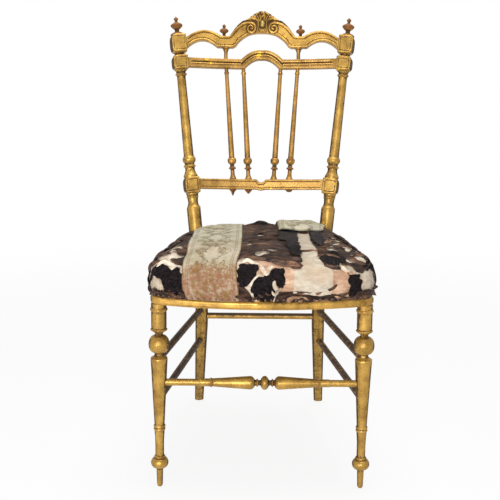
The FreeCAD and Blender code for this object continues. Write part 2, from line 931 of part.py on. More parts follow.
def spindle(name, foot, head, shares, radius, foot_rail, head_rail):
    """A turned spindle from its foot on one rail to its head under another."""
    length = size.work_out(name + "_length", (head - foot).Length)
    body = new_body(name, along(foot, head))
    tenon = size.spindle_tenon_radius
    reach = size.spindle_tenon_length
    corners = [(tenon, -reach), (tenon, ZERO)]
    corners += profile(shares, ZERO, length, radius)
    corners += [(tenon, length), (tenon, length + reach)]
    turned(body, corners)
    fit = size.joint_clearance
    drill(foot_rail, body.Placement * Placement(Vector(0, 0, -number(reach + fit)), Rotation()),
          tenon + fit, reach + size.cut_overrun)
    drill(head_rail, body.Placement * Placement(Vector(0, 0, number(length - size.cut_overrun)), Rotation()),
          tenon + fit, reach + fit + size.cut_overrun)


for name, side in SIDES:
    for kind, low, high in (("outer", size.outer_spindle_foot, size.outer_spindle_head),
                            ("inner", size.inner_spindle_foot, size.inner_spindle_head)):
        spindle("spindle_" + kind + "_" + name,
                back_point(low * side, lower_rail_top + size.joint_clearance, lower_rail_middle),
                back_point(high * side, arched_low - size.joint_clearance, arched_middle),
                spindle_shares, size.spindle_radius, lower_rail, arched_rail)
    place = crest_span * short_spindle_place_share * side
    spindle("short_spindle_" + name,
            back_point(place, arched_top + size.joint_clearance, arched_middle),
            back_point(place, under_crest - size.joint_clearance, crest_middle),
            short_spindle_shares, size.short_spindle_radius, arched_rail, crest_rail)

# Small finials on the flats of the crest.

for name, side in SIDES:
    flat = crest_top - size.crest_band_height * crest_flat_shares[0]
    place = crest_span * crest_finial_place_share * side
    foot = back_point(place, flat + size.joint_clearance, crest_middle)
    above = back_point(place, flat + size.crest_finial_height, crest_middle)
    finial("crest_finial_" + name, along(foot, above), crest_finial_shares, size.crest_finial_height,
           size.crest_finial_radius, size.spindle_tenon_radius, size.spindle_tenon_length)
    fit = size.joint_clearance
    deep = Placement(Vector(0, 0, -number(size.spindle_tenon_length + fit)), Rotation())
    drill(crest_rail, along(foot, above) * deep,
          size.spindle_tenon_radius + fit, size.spindle_tenon_length + size.cut_overrun)

# Drops under the lower rail: one whole, one worn blunt, one broken short; the fourth is lost.

drop_shares = [
    (0.0, 1.0),
    (0.10, 0.95),
    (0.45, 0.42),
    (1.0, 0.06),
]
blunt_drop_shares = [
    (0.0, 1.0),
    (0.12, 0.95),
    (1.0, 0.12),
]
broken_drop_shares = [
    (0.0, 1.0),
    (0.35, 0.90),
    (1.0, 0.55),
]
for name, place, shares, length in (
        ("drop_outer_left", -size.outer_spindle_foot, drop_shares, size.long_drop_length),
        ("drop_inner_left", -size.inner_spindle_foot, blunt_drop_shares, size.blunt_drop_length),
        ("drop_outer_right", size.outer_spindle_foot, broken_drop_shares, size.broken_drop_length)):
    foot = back_point(place, size.lower_rail_height - size.joint_clearance, lower_rail_middle)
    below = back_point(place, size.lower_rail_height - length, lower_rail_middle)
    finial(name, along(foot, below), shares, length, size.drop_radius,
           size.drop_tenon_radius, size.drop_tenon_length)
    fit = size.joint_clearance
    deep = Placement(Vector(0, 0, -number(size.drop_tenon_length + fit)), Rotation())
    drill(lower_rail, along(foot, below) * deep,
          size.drop_tenon_radius + fit, size.drop_tenon_length + size.cut_overrun)

# Stretchers: each end is a plain round tenon in a blind socket of the leg.

front_stretcher_half_shares = [
    (0.100, 0.39),
    (0.107, 0.60),
    (0.127, 0.60),
    (0.132, 0.44),
    (0.155, 0.44),
    (0.165, 0.70),
    (0.20, 0.97),
    (0.805, 0.60),
    (0.812, 0.69),
    (0.832, 0.69),
    (0.84, 0.57),
    (1.0, 0.57),
]
front_stretcher_shares = [(-out, wide) for out, wide in reversed(front_stretcher_half_shares)]
front_stretcher_shares += [(-0.062, 0.39), (0.062, 0.39, 0.60)]
front_stretcher_shares += front_stretcher_half_shares
front_stretcher_end_share = 0.50

def stretcher(name, start, end, start_leg, end_leg, radius, shape_of):
    """A turned stretcher whose tips stop short of the middles of two legs."""
    way = (end - start).normalize()
    gap = number(size.stretcher_tip_gap)
    tip = start + way * gap
    far = end - way * gap
    length = size.work_out(name + "_length", (far - tip).Length)
    body = new_body(name, along(tip, far, UP))
    corners = shape_of(length, radius)
    turned(body, corners)
    fit = size.joint_clearance
    reach = size.front_leg_radius + size.cut_overrun
    drill(bodies[start_leg], along(tip - way * number(fit), far, UP), corners[0][0] + fit, reach)
    drill(bodies[end_leg], along(far + way * number(fit), tip, UP), corners[-1][0] + fit, reach)
    return body


def plain_stretcher(length, radius):
    return [(radius, ZERO), (radius, length)]


def front_stretcher(length, radius):
    centre = length / 2 + size.front_stretcher_shift
    end_radius = radius * front_stretcher_end_share
    shoulder = size.front_stretcher_turned_half
    return ([(end_radius, ZERO), (end_radius, centre - shoulder)]
            + profile(front_stretcher_shares, centre, shoulder, radius)
            + [(end_radius, centre + shoulder), (end_radius, length)])


level = number(size.front_stretcher_height)
stretcher("front_stretcher", front_leg_point(-1, level), front_leg_point(1, level), "front_leg_left",
          "front_leg_right", size.front_stretcher_radius, front_stretcher)
for kind, height in (("upper", size.upper_side_stretcher_height),
                     ("lower", size.lower_side_stretcher_height)):
    level = number(height)
    for name, side in SIDES:
        stretcher(kind + "_side_stretcher_" + name, front_leg_point(side, level),
                  rear_leg_point(side, level), "front_leg_" + name, "rear_post_" + name,
                  size.side_stretcher_radius, plain_stretcher)
level = number(size.back_stretcher_height)
stretcher("back_stretcher", rear_leg_point(-1, level), rear_leg_point(1, level), "rear_post_left",
          "rear_post_right", size.back_stretcher_radius, plain_stretcher)

# Seat frame: a bowed front rail with rounded corners over the front legs, two side rails and a
# back rail between the posts. The gilt nosing is left proud of the upper part, which takes the tacks.

front_heel_share = 0.55
inner_bow_share = 0.85


def front_rail_corners(inset):
    corner = size.front_rail_half_width - size.front_corner_reach
    front = size.front_rail_bow - size.front_rail_reach
    back = size.front_rail_return
    inner = side_line(back) - size.front_rail_width
    heel = size.front_rail_return * front_heel_share
    return [(corner - inset / 2, front + inset, size.front_rail_bow),
            (size.front_rail_half_width - inset, size.front_corner_end, size.front_corner_rise),
            (side_line(back) - inset, back),
            (inner, back),
            (inner - heel, back - heel)]


def seat_rail(name, corners, closing_rise, rounded):
    """A rail of the seat frame: its nosing, rounded on the show side, and its upper part."""
    body = new_body(name, Placement(Vector(0, 0, number(rail_underside)), Rotation()))
    both = both_halves if closing_rise is not None else (lambda half, rise: half)
    nosing = pad(body, outline(body, "XY_Plane", both(corners(ZERO), closing_rise)), size.nosing_thickness)
    doc.recompute()
    if rounded:
        ease(body, nosing, size.nosing_round, rounded)
    pad(body, outline(body, "XY_Plane", both(corners(size.nosing_overhang), closing_rise)),
        size.seat_frame_height)
    return body


def at_nosing_edge(middle):
    level = middle.z - number(rail_underside)
    near = number(size.edge_tolerance)
    return abs(level) < near or abs(level - number(size.nosing_thickness)) < near


front_y = number(size.front_rail_bow - size.front_rail_reach)
front_return = number(size.front_rail_return - size.edge_tolerance)
front_inner = number(side_line(size.front_rail_return) - size.front_rail_width / 4)
front_rail = seat_rail(
    "seat_rail_front", front_rail_corners, -size.front_rail_bow * inner_bow_share,
    lambda middle: at_nosing_edge(middle) and middle.y < front_return
    and (middle.y < front_y or abs(middle.x) > front_inner))
for name, side in SIDES:
    mouth = Placement(Vector(0, 0, number(rail_underside - size.cut_overrun)), Rotation())
    head = front_leg_frame(side) * mouth
    drill(front_rail, head, size.leg_tenon_radius + size.joint_clearance,
          size.leg_tenon_length + size.cut_overrun + size.joint_clearance)


def side_rail_corners(side):
    rear = size.seat_depth - size.post_radius / 2
    front = size.front_rail_return + size.joint_clearance

    def corners(inset):
        outer = [((side_line(front) - inset) * side, front), ((side_line(rear) - inset) * side, rear)]
        inner = [((side_line(rear) - size.side_rail_width) * side, rear),
                 ((side_line(front) - size.side_rail_width) * side, front)]
        return outer + inner
    return corners


def back_rail_corners(inset):
    half = half_post_spacing
    front = size.seat_depth - size.back_rail_width / 2
    back = size.seat_depth + size.back_rail_width / 2 - inset
    return [(-half, front), (half, front), (half, back), (-half, back)]


rail_middle = rail_underside + size.seat_frame_height / 2
tenon_middle = number(rail_middle)


def rail_tenon(rail, post, target, way, reach_in, reach_out):
    """A flat tenon along a way, ending beyond the target, with its mortise in the other piece."""
    fit = size.joint_clearance
    root = target - way * number(reach_out)
    box(rail, "AdditiveBox", along(root, target, UP), size.rail_tenon_height, size.rail_tenon_width,
        reach_out + reach_in)
    mouth = target - way * number(size.post_radius + size.cut_overrun)
    box(post, "SubtractiveBox", along(mouth, target, UP),
        size.rail_tenon_height + fit * 2, size.rail_tenon_width + fit * 2,
        size.post_radius + size.cut_overrun + reach_in + fit)


short_of_middle = size.rail_tenon_depth - size.post_radius
for name, side in SIDES:
    edge_line = number(side_line(size.seat_depth / 2) - size.nosing_overhang)
    rail = seat_rail("seat_rail_" + name, side_rail_corners(side), None,
                     lambda middle: at_nosing_edge(middle) and abs(middle.x) > edge_line)
    post = bodies["rear_post_" + name]
    drill(rail, post_place(side, -size.post_cut_start), size.post_radius + size.joint_clearance,
          size.post_cut_length)
    centre = post_point(side, tenon_middle)
    front_middle = Vector(side * number(side_line(size.front_rail_return) - size.side_rail_width / 2),
                          number(size.front_rail_return), tenon_middle)
    way = (centre - front_middle).normalize()
    rail_tenon(rail, post, centre, way, short_of_middle, size.post_radius * 2)
    forward = Vector(0, -1, 0)
    heel = front_middle - forward * number(size.side_rail_tenon_length)
    box(rail, "AdditiveBox", along(heel, front_middle, UP),
        size.rail_tenon_height, size.rail_tenon_width, size.side_rail_tenon_length * 2)
    fit = size.joint_clearance
    mouth = front_middle - forward * number(size.cut_overrun)
    box(front_rail, "SubtractiveBox", along(mouth, front_middle, UP),
        size.rail_tenon_height + fit * 2, size.rail_tenon_width + fit * 2,
        size.side_rail_tenon_length + size.cut_overrun + fit)

back_seat_rail = seat_rail("seat_rail_back", back_rail_corners, None, None)
for name, side in SIDES:
    drill(back_seat_rail, post_place(side, -size.post_cut_start), size.post_radius + size.joint_clearance,
          size.post_cut_length)
    rail_tenon(back_seat_rail, bodies["rear_post_" + name], post_point(side, tenon_middle),
               Vector(side, 0, 0), short_of_middle, size.post_radius * 2)

webbing_steps = (0, -1, 1)
webbing_share = 0.6
webbing_middle_share = 0.5

# Webbing: three straps each way, crossing in one layer on top of the frame.

webbing = new_body("webbing", Placement())
strap_level = number(frame_top + size.joint_clearance)
strap_front = size.webbing_reach - size.front_rail_reach
strap_back = size.seat_depth - size.joint_clearance
for step in webbing_steps:
    across = number(half_post_spacing) * step * webbing_share
    middle = Vector(across, number(strap_front + strap_back) / 2, strap_level)
    box(webbing, "AdditiveBox", Placement(middle, Rotation()),
        size.webbing_width, strap_back - strap_front, size.webbing_thickness)
    back = size.seat_depth * (webbing_middle_share + step * webbing_middle_share / 2)
    half_strap = side_line(back) - size.nosing_overhang - size.side_rail_width / 2
    box(webbing, "AdditiveBox", Placement(Vector(0, number(back), strap_level), Rotation()),
        half_strap * 2, size.webbing_width, size.webbing_thickness)

# Hessian: one sheet over the webbing, cut in at the posts.

hessian_level = number(frame_top + size.joint_clearance + size.webbing_thickness + size.cloth_clearance)
hessian = new_body("hessian", Placement(Vector(0, 0, hessian_level), Rotation()))
margin = size.nosing_overhang + size.hessian_margin
post_front = size.seat_depth - size.post_radius - size.hessian_margin
post_inner = half_post_spacing - size.post_radius - size.hessian_margin
half = front_rail_corners(margin)[:2]
half += [(side_line(post_front) - margin, post_front), (post_inner, post_front),
         (post_inner, size.seat_depth + size.back_rail_width / 2 - margin)]
pad(hessian, outline(hessian, "XY_Plane", both_halves(half)), size.hessian_thickness)

# Stuffed seat: a crowned pad drawn in towards the frame, hollow below to sit over it.
# The shares are of the height, and of the spread about the middle of the pad.

pad_shares = [
    (0.0, 0.972),
    (0.30, 0.998),
    (0.66, 0.988),
    (0.82, 0.93),
    (0.94, 0.70),
    (1.0, 0.25),
]
pad_half_width = size.front_rail_half_width + size.pad_side_overhang
pad_rear_half_width = half_post_spacing + size.pad_rear_spread
pad_front_reach = size.front_rail_reach + size.pad_front_overhang
pad_back_reach = size.seat_depth + size.pad_back_overhang
pad_middle = (pad_back_reach - pad_front_reach) / 2
pad_level = nosing_top + size.cloth_clearance


def pad_half(growth, spread):
    """Half the plan of the pad, grown all round and drawn in about its middle."""
    wide = pad_half_width + growth
    rear = pad_rear_half_width + growth
    front = -pad_front_reach - growth
    back = pad_back_reach + growth
    rows = [(wide - size.front_corner_reach, front + size.front_rail_bow, size.front_rail_bow),
            (wide, size.front_corner_end, size.front_corner_rise),
            (rear, back - size.pad_corner_cut),
            (rear - size.pad_corner_cut, back)]
    half = []
    for across, deep, *bow in rows:
        half.append((across * spread, pad_middle + (deep - pad_middle) * spread) + tuple(
            rise * spread for rise in bow))
    return half


def pad_form(body, kind, growth):
    """The crowned form itself, as a loft through its plans."""
    sections = []
    tall = size.pad_height + growth
    for up, spread in pad_shares:
        place = Placement(Vector(0, 0, number(tall * up)), Rotation())
        sections.append(outline(body, "XY_Plane", both_halves(pad_half(growth, spread)), place))
    feature = body.newObject("PartDesign::" + kind, "Crown")
    feature.Profile = sections[0]
    feature.Sections = sections[1:]
    feature.Ruled = True
    return feature


def clear_of_posts(body, gap):
    for name, side in SIDES:
        drill(body, post_place(side, -size.post_cut_start), size.post_radius + gap, size.post_cut_length)


pad_place = Placement(Vector(0, 0, number(pad_level)), Rotation())
seat_pad = new_body("seat_pad", pad_place)
pad_form(seat_pad, "AdditiveLoft", ZERO)
hollow = size.cloth_clearance - size.nosing_overhang
half = front_rail_corners(-hollow)[:2]
half += [(side_line(size.seat_depth) + hollow, size.seat_depth),
         (side_line(size.seat_depth) + hollow, size.seat_depth + size.back_rail_width / 2 + hollow)]
under = seat_pad.newObject("PartDesign::Pocket", "Hollow")
under.Profile = outline(seat_pad, "XY_Plane", both_halves(half))
under.Reversed = True
bind(under, "Length", size.seat_frame_height - size.nosing_thickness + size.joint_clearance
     + size.webbing_thickness + size.cloth_clearance + size.hessian_thickness)
clear_of_posts(seat_pad, size.cloth_clearance)


def cover(name, thickness, plan, low):
    """A cloth laid over the pad: the form grown twice, kept only inside its plan."""
    body = new_body(name, pad_place)
    pad_form(body, "AdditiveLoft", size.cloth_clearance + thickness)
    pad_form(body, "SubtractiveLoft", size.cloth_clearance)
    far = pad_back_reach * 2
    waste = outline(body, "XY_Plane", [(-far, -far), (far, -far), (far, far), (-far, far)])
    add_loop(waste, plan)
    cut = body.newObject("PartDesign::Pocket", "Cut")
    cut.Profile = waste
    cut.Type = 1
    cut.Midplane = True
    lower = body.newObject("PartDesign::SubtractiveBox", "Hem")
    bind(lower, "Length", far * 2)
    bind(lower, "Width", far * 2)
    bind(lower, "Height", low)
    lower.Placement = Placement(Vector(-number(far), -number(far), 0), Rotation())
    clear_of_posts(body, size.cloth_clearance * 2)
    return body


# Brocade band from front to back, left of the middle, and a folded remnant behind on the right.

# A band share and a remnant share say how far across the pad's half width each cloth lies.

band_shares = (-0.662, -0.1945)
remnant_shares = (0.1667, 0.648)
remnant_low_share = 0.62

far = pad_back_reach * 2
for name, shares, thickness, front, low in (
        ("brocade_band", band_shares, size.cover_thickness, -far, size.hem_height),
        ("brocade_remnant", remnant_shares, size.remnant_thickness, pad_back_reach - size.remnant_depth,
         size.pad_height * remnant_low_share)):
    left, right = (pad_half_width * share for share in shares)
    cover(name, thickness, [(left, front), (right, front), (right, far), (left, far)], low)

# The whole chair is moved so that its footprint is centred on the origin and it stands on the floor.

doc.recompute()
reach = Part.makeCompound([body.Shape for body in bodies.values()]).optimalBoundingBox(False, False)
move = Vector(-(reach.XMin + reach.XMax) / 2, -(reach.YMin + reach.YMax) / 2, -reach.ZMin)
for body in bodies.values():
    body.Placement = Placement(move, Rotation()) * body.Placement
print("moved by", move)

doc.recompute()

for thing in doc.Objects:
    if "Invalid" in thing.State or "Error" in thing.State:
        raise RuntimeError(thing.Label + " failed: " + str(thing.State))

os.makedirs("parts", exist_ok=True)
for name, body in bodies.items():
    shape = body.Shape
    if shape.isNull() or not shape.isValid():
        raise RuntimeError(name + " has no valid shape")
    shape.exportStep("parts/" + name + ".step")
    print(name, len(shape.Solids), round(shape.Volume))
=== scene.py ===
import math

import bmesh
import bpy
import numpy as np
from mathutils import Matrix


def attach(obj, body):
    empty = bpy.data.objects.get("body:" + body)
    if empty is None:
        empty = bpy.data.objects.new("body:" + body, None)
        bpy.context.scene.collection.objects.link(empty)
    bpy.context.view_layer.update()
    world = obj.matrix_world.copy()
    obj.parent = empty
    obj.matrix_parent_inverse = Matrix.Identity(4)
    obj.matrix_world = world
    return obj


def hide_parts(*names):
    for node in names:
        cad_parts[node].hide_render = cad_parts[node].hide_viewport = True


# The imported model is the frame, and every place below is in its metres.

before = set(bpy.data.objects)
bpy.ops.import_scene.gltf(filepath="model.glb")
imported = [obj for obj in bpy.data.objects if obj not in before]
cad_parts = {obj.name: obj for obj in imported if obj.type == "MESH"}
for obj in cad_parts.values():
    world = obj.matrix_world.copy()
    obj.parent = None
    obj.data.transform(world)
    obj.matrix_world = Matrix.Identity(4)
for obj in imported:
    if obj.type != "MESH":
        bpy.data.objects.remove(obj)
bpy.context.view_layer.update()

# Studio: a pale floor, an even white surround and three soft lamps: one in front, a low one on the left
# and one above. The camera stands a little left of the chair, above the seat, and looks down on it.

camera_place = (-0.020, -1.829, 0.811)
camera_yaw, camera_pitch, camera_roll = 0.002, 0.206, 0.008
camera_lens, camera_sensor = 63.75, 36.0
floor_reach = 12.0


def look(place, yaw, pitch, roll):
    """The camera's matrix: turned by yaw, tipped down by pitch, then rolled about its line of sight."""
    level = np.array([math.cos(yaw), math.sin(yaw), 0.0])
    ahead = np.array([-math.sin(yaw), math.cos(yaw), 0.0])
    sky = np.array([0.0, 0.0, 1.0])
    forward = ahead * math.cos(pitch) - sky * math.sin(pitch)
    upright = ahead * math.sin(pitch) + sky * math.cos(pitch)
    right = level * math.cos(roll) + upright * math.sin(roll)
    above = upright * math.cos(roll) - level * math.sin(roll)
    matrix = np.eye(4)
    matrix[:3] = np.stack([right, above, -forward, place], axis=1)
    return Matrix(matrix.tolist())


def in_scene(name, data):
    """A new object with that mesh, lamp or camera, linked into the scene."""
    thing = bpy.data.objects.new(name, data)
    bpy.context.scene.collection.objects.link(thing)
    return thing


lens = bpy.data.cameras.new("Camera")
lens.lens = camera_lens
lens.sensor_width = camera_sensor
lens.clip_end = floor_reach * 4
camera = in_scene("Camera", lens)
camera.matrix_world = look(camera_place, camera_yaw, camera_pitch, camera_roll)
bpy.context.scene.camera = camera
bpy.context.scene.view_settings.view_transform = "Standard"


class Field:
    """A value or colour that varies over a surface: one output of a shader node, with arithmetic."""

    def __init__(self, tree, socket):
        self.tree = tree
        self.socket = socket

    def math(self, operation, *others):
        return add(self.tree, "ShaderNodeMath", {"operation": operation}, dict(enumerate((self,) + others)))

    def __add__(self, other):
        return self.math("ADD", other)

    def __sub__(self, other):
        return self.math("SUBTRACT", other)

    def __mul__(self, other):
        return self.math("MULTIPLY", other)

    def __truediv__(self, other):
        return self.math("DIVIDE", other)

    # The least and the most of two fields, and the size of one without its sign.

    def least(self, other):
        return self.math("MINIMUM", other)

    def most(self, other):
        return self.math("MAXIMUM", other)

    def size(self):
        return self.math("ABSOLUTE")

    def step(self, low, high):
        """A smooth climb from 0 at low to 1 at high."""
        return add(self.tree, "ShaderNodeMapRange", {"interpolation_type": "SMOOTHSTEP"},
                   {0: self, 1: low, 2: high, 3: 0.0, 4: 1.0})

    def parts(self):
        """The three components of a vector."""
        node = self.tree.nodes.new("ShaderNodeSeparateXYZ")
        self.tree.links.new(self.socket, node.inputs[0])
        return [Field(self.tree, socket) for socket in node.outputs]


def feed(tree, socket, value):
    """Lead a field into a socket, or set the socket to a plain value."""
    if isinstance(value, Field):
        tree.links.new(value.socket, socket)
    elif value is not None:
        socket.default_value = value


def add(tree, kind, settings=None, inputs=None, output=0):
    """A shader node with its settings and inputs; gives the output of that number."""
    node = tree.nodes.new(kind)
    for name, value in (settings or {}).items():
        setattr(node, name, value)
    for name, value in (inputs or {}).items():
        feed(tree, node.inputs[name], value)
    return Field(tree, node.outputs[output])


def mixed(share, first, second):
    """One colour passing into another by a share from 0 to 1."""
    return add(share.tree, "ShaderNodeMix", {"data_type": "RGBA"}, {0: share, 6: first, 7: second}, 2)


def tone(red, green, blue):
    """A colour as it is seen on a screen, turned into light."""
    seen = np.array([red, green, blue])
    return tuple(np.where(seen < 0.04045, seen / 12.92, ((seen + 0.055) / 1.055) ** 2.4)) + (1.0,)


def shown_to_camera(tree):
    """1 for what the camera, glass or a mirror sees, and 0 for the light that falls on the chair."""
    seen = [add(tree, "ShaderNodeLightPath", output=number) for number in (0, 3, 6)]
    return seen[0].most(seen[1]).most(seen[2])


floor_tone = (0.90, 0.90, 0.90, 1.0)
floor_shadow_share = 0.11
floor_shadow_near, floor_shadow_far = 0.8, 2.4
surround_tone = (0.95, 0.97, 1.0, 1.0)
surround_strength = 0.18

world = bpy.data.worlds.new("Surround")
bpy.context.scene.world = world
world.use_nodes = True
tree = world.node_tree
tree.nodes.clear()
behind = shown_to_camera(tree)
backdrop = add(tree, "ShaderNodeBackground", None, {
    0: mixed(behind, surround_tone, (1.0, 1.0, 1.0, 1.0)),
    1: behind * (1.0 - surround_strength) + surround_strength})
feed(tree, tree.nodes.new("ShaderNodeOutputWorld").inputs[0], backdrop)

floor_mesh = bpy.data.meshes.new("Floor")
corner = floor_reach * np.array([[-1, -1, 0], [1, -1, 0], [1, 1, 0], [-1, 1, 0]])
floor_mesh.from_pydata(corner.tolist(), [], [(0, 1, 2, 3)])
floor = in_scene("Floor", floor_mesh)
floor_paint = bpy.data.materials.new("floor")
floor_paint.use_nodes = True
tree = floor_paint.node_tree
tree.nodes.clear()
lit = add(tree, "ShaderNodeBsdfDiffuse", None, {0: floor_tone})
glow = add(tree, "ShaderNodeEmission", None, {0: (1.0, 1.0, 1.0, 1.0), 1: 1.0})
across, along, _ = add(tree, "ShaderNodeTexCoord", output=3).parts()
near = (across * across + along * along).math("SQRT").step(floor_shadow_far, floor_shadow_near)
share = shown_to_camera(tree) * (near * -floor_shadow_share + 1.0)
feed(tree, tree.nodes.new("ShaderNodeOutputMaterial").inputs[0],
     add(tree, "ShaderNodeMixShader", None, {0: share, 1: lit, 2: glow}))
floor_mesh.materials.append(floor_paint)

lamp_target = (0.0, 0.0, 0.45)
for name, place, width, power in (("key", (-0.25, -2.90, 0.85), 0.8, 48.0),
                                  ("fill", (-0.9, -2.3, 0.35), 0.5, 20.0),
                                  ("top", (0.15, -0.15, 2.7), 1.6, 47.0)):
    lamp_data = bpy.data.lights.new(name, "AREA")
    lamp_data.shape = "DISK"
    lamp_data.size = width
    lamp_data.energy = power
    lamp = in_scene(name, lamp_data)
    lamp.location = place
    away = np.array(place) - np.array(lamp_target)
    across = np.cross([0.0, 0.0, 1.0], away)
    across /= np.linalg.norm(across)
    away /= np.linalg.norm(away)
    lamp.matrix_world = Matrix(np.vstack([
        np.stack([across, np.cross(away, across), away, place], axis=1), [0, 0, 0, 1]]).tolist())

# Front legs: turned beech under gesso, bole and old gold leaf, each tenoned up into the front seat rail.
# The gold is rubbed through to red-brown on the beads and keeps brown dirt in the necks; its sides are
# darkened by painted shade.

front_line = -0.2201
front_leg_foot = (0.1965, front_line, 0.0)
front_leg_head = (0.1940, front_line, 0.3725)
front_leg_unit = 0.0199
turning_steps = 44
run_steps, profile_spacing, relief_window, relief_height = 24, 0.0006, 17, 0.0010
ball_swell, kept_turn, kept_run = 0.25, 0.16, 14.0
both_sides = (("left", -1), ("right", 1))


def new_group(name, inputs, outputs):
    """A shader node group with its inputs and outputs; gives the tree and the input fields."""
    group = bpy.data.node_groups.new(name, "ShaderNodeTree")
    kinds = {"value": "NodeSocketFloat", "colour": "NodeSocketColor"}
    for names, way in ((inputs, "INPUT"), (outputs, "OUTPUT")):
        for socket, kind in names.items():
            group.interface.new_socket(socket, in_out=way, socket_type=kinds[kind])
    entry = group.nodes.new("NodeGroupInput")
    return group, [Field(group, entry.outputs[socket]) for socket in inputs]


def close_group(group, outputs):
    """Lead the fields to the outputs of a group by name."""
    leave = group.nodes.new("NodeGroupOutput")
    for name, field in outputs.items():
        feed(group, leave.inputs[name], field)


def use_group(tree, group, inputs):
    """Place a group in a material with its own values; gives its outputs by name."""
    node = tree.nodes.new("ShaderNodeGroup")
    node.node_tree = group
    for name, value in inputs.items():
        feed(tree, node.inputs[name], value)
    return {socket.name: Field(tree, socket) for socket in node.outputs}


def noise(tree, scale, detail=3.0, rough=0.5, point=None, stretch=None):
    """Soft noise from 0 to 1 on the object's own coordinates; stretch scales each axis first."""
    place = point or add(tree, "ShaderNodeTexCoord", output=3)
    if stretch is not None:
        place = add(tree, "ShaderNodeMapping", None, {"Vector": place, "Scale": stretch})
    return add(tree, "ShaderNodeTexNoise", None,
               {"Vector": place, "Scale": scale, "Detail": detail, "Roughness": rough})


def surface_relief(tree):
    """The piece's relief attribute: above 0 on beads and edges, below 0 in grooves and necks."""
    return add(tree, "ShaderNodeAttribute", {"attribute_name": "relief"}, None, 2)


# Old gilding, as a group: gold that varies in tone, dirt in the hollows, painted shade on the faces turned
# left and right, bole on the rubbed beads.

old_gilding, (rub, dirt, gold) = new_group(
    "old_gilding", {"Rub": "value", "Dirt": "value", "Gold": "colour"},
    {"Color": "colour", "Metal": "value", "Roughness": "value", "Height": "value"})
relief = surface_relief(old_gilding)
cloud = noise(old_gilding, 38.0, 4.0)
patch = noise(old_gilding, 150.0, 5.0, 0.65)
speck = noise(old_gilding, 700.0, 3.0, 0.6)
streak = noise(old_gilding, 420.0, 2.0, 0.5, stretch=(1.0, 1.0, 0.25))
worn = (relief * 0.55 + (patch - 0.5) * 1.5 + (cloud - 0.5) * 0.8 + rub - 0.62).step(0.0, 0.30)
# Painted shade: faces turned left or right are darkened brown, so the sides of the turnings and blocks fall
# dark.
side_shade = add(old_gilding, "ShaderNodeNewGeometry", output=1).parts()[0].size().step(0.58, 0.94)
dirt_and_side_shade = relief * -0.75 + (patch - 0.5) * 1.5 + (streak - 0.5) * 1.0 + side_shade * 0.85 + dirt - 0.60
dirt_and_side_shade = dirt_and_side_shade.step(0.0, 0.42)
pitted = (speck - 0.60).step(0.0, 0.10) * (cloud * 1.4).least(1.0)
dabbed = (noise(old_gilding, 55.0, 1.0) - 0.745).step(0.0, 0.02)
leaf = mixed((cloud * 1.6 - 0.35) + (speck - 0.5) * 1.5, gold, tone(0.42, 0.30, 0.12))
leaf = mixed(dabbed * 0.8, leaf, tone(0.93, 0.72, 0.16))
bole = mixed(speck, tone(0.36, 0.20, 0.11), tone(0.55, 0.35, 0.20))
colour = mixed(worn * 0.85, leaf, bole)
# Dark brown where there is dirt, and where the sides carry painted shade.
colour = mixed((pitted * 0.55).most(dirt_and_side_shade * 0.9), colour, tone(0.24, 0.16, 0.08))
close_group(old_gilding, {
    "Color": colour,
    "Metal": (worn * -0.7 + 0.50) * (dirt_and_side_shade * -0.7 + 1.0),
    "Roughness": dirt_and_side_shade * 0.30 + worn * 0.14 + speck * 0.16 + 0.30,
    "Height": speck * 0.35 + patch * 0.5 + pitted * -0.7 + worn * -0.35})


def new_finish(name):
    """An empty material; gives it and its tree."""
    material = bpy.data.materials.new(name)
    material.use_nodes = True
    material.node_tree.nodes.clear()
    return material, material.node_tree


def close_finish(tree, colour, roughness, metal=None, height=None, depth=0.0004, alpha=None, **plain):
    """Lead the fields into one Principled shader; plain numbers go on its own sockets."""
    shader = tree.nodes.new("ShaderNodeBsdfPrincipled")
    feed(tree, shader.inputs["Alpha"], alpha)
    feed(tree, shader.inputs["Base Color"], colour)
    feed(tree, shader.inputs["Roughness"], roughness)
    feed(tree, shader.inputs["Metallic"], metal)
    if height is not None:
        bump = add(tree, "ShaderNodeBump", None, {"Height": height, "Strength": 1.0, "Distance": depth})
        feed(tree, shader.inputs["Normal"], bump)
    for name, value in plain.items():
        shader.inputs[name.replace("_", " ")].default_value = value
    tree.links.new(shader.outputs[0], tree.nodes.new("ShaderNodeOutputMaterial").inputs[0])


def gilt_finish(name, rub, dirt, gold):
    """Old gilding with shares of rubbed and of dirty places from 0 to 1, and the gold's own colour."""
    material, tree = new_finish(name)
    out = use_group(tree, old_gilding, {"Rub": rub, "Dirt": dirt, "Gold": gold})
    close_finish(tree, out["Color"], out["Roughness"], out["Metal"], out["Height"], 0.0002,
                 Specular_IOR_Level=0.2)
    return material


turned_gilt = gilt_finish("turned_gilt", 0.22, 0.34, tone(0.78, 0.62, 0.31))
carved_gilt = gilt_finish("carved_gilt", 0.10, 0.20, tone(0.84, 0.66, 0.33))
worn_gilt = gilt_finish("worn_gilt", 0.72, 0.52, tone(0.70, 0.50, 0.24))


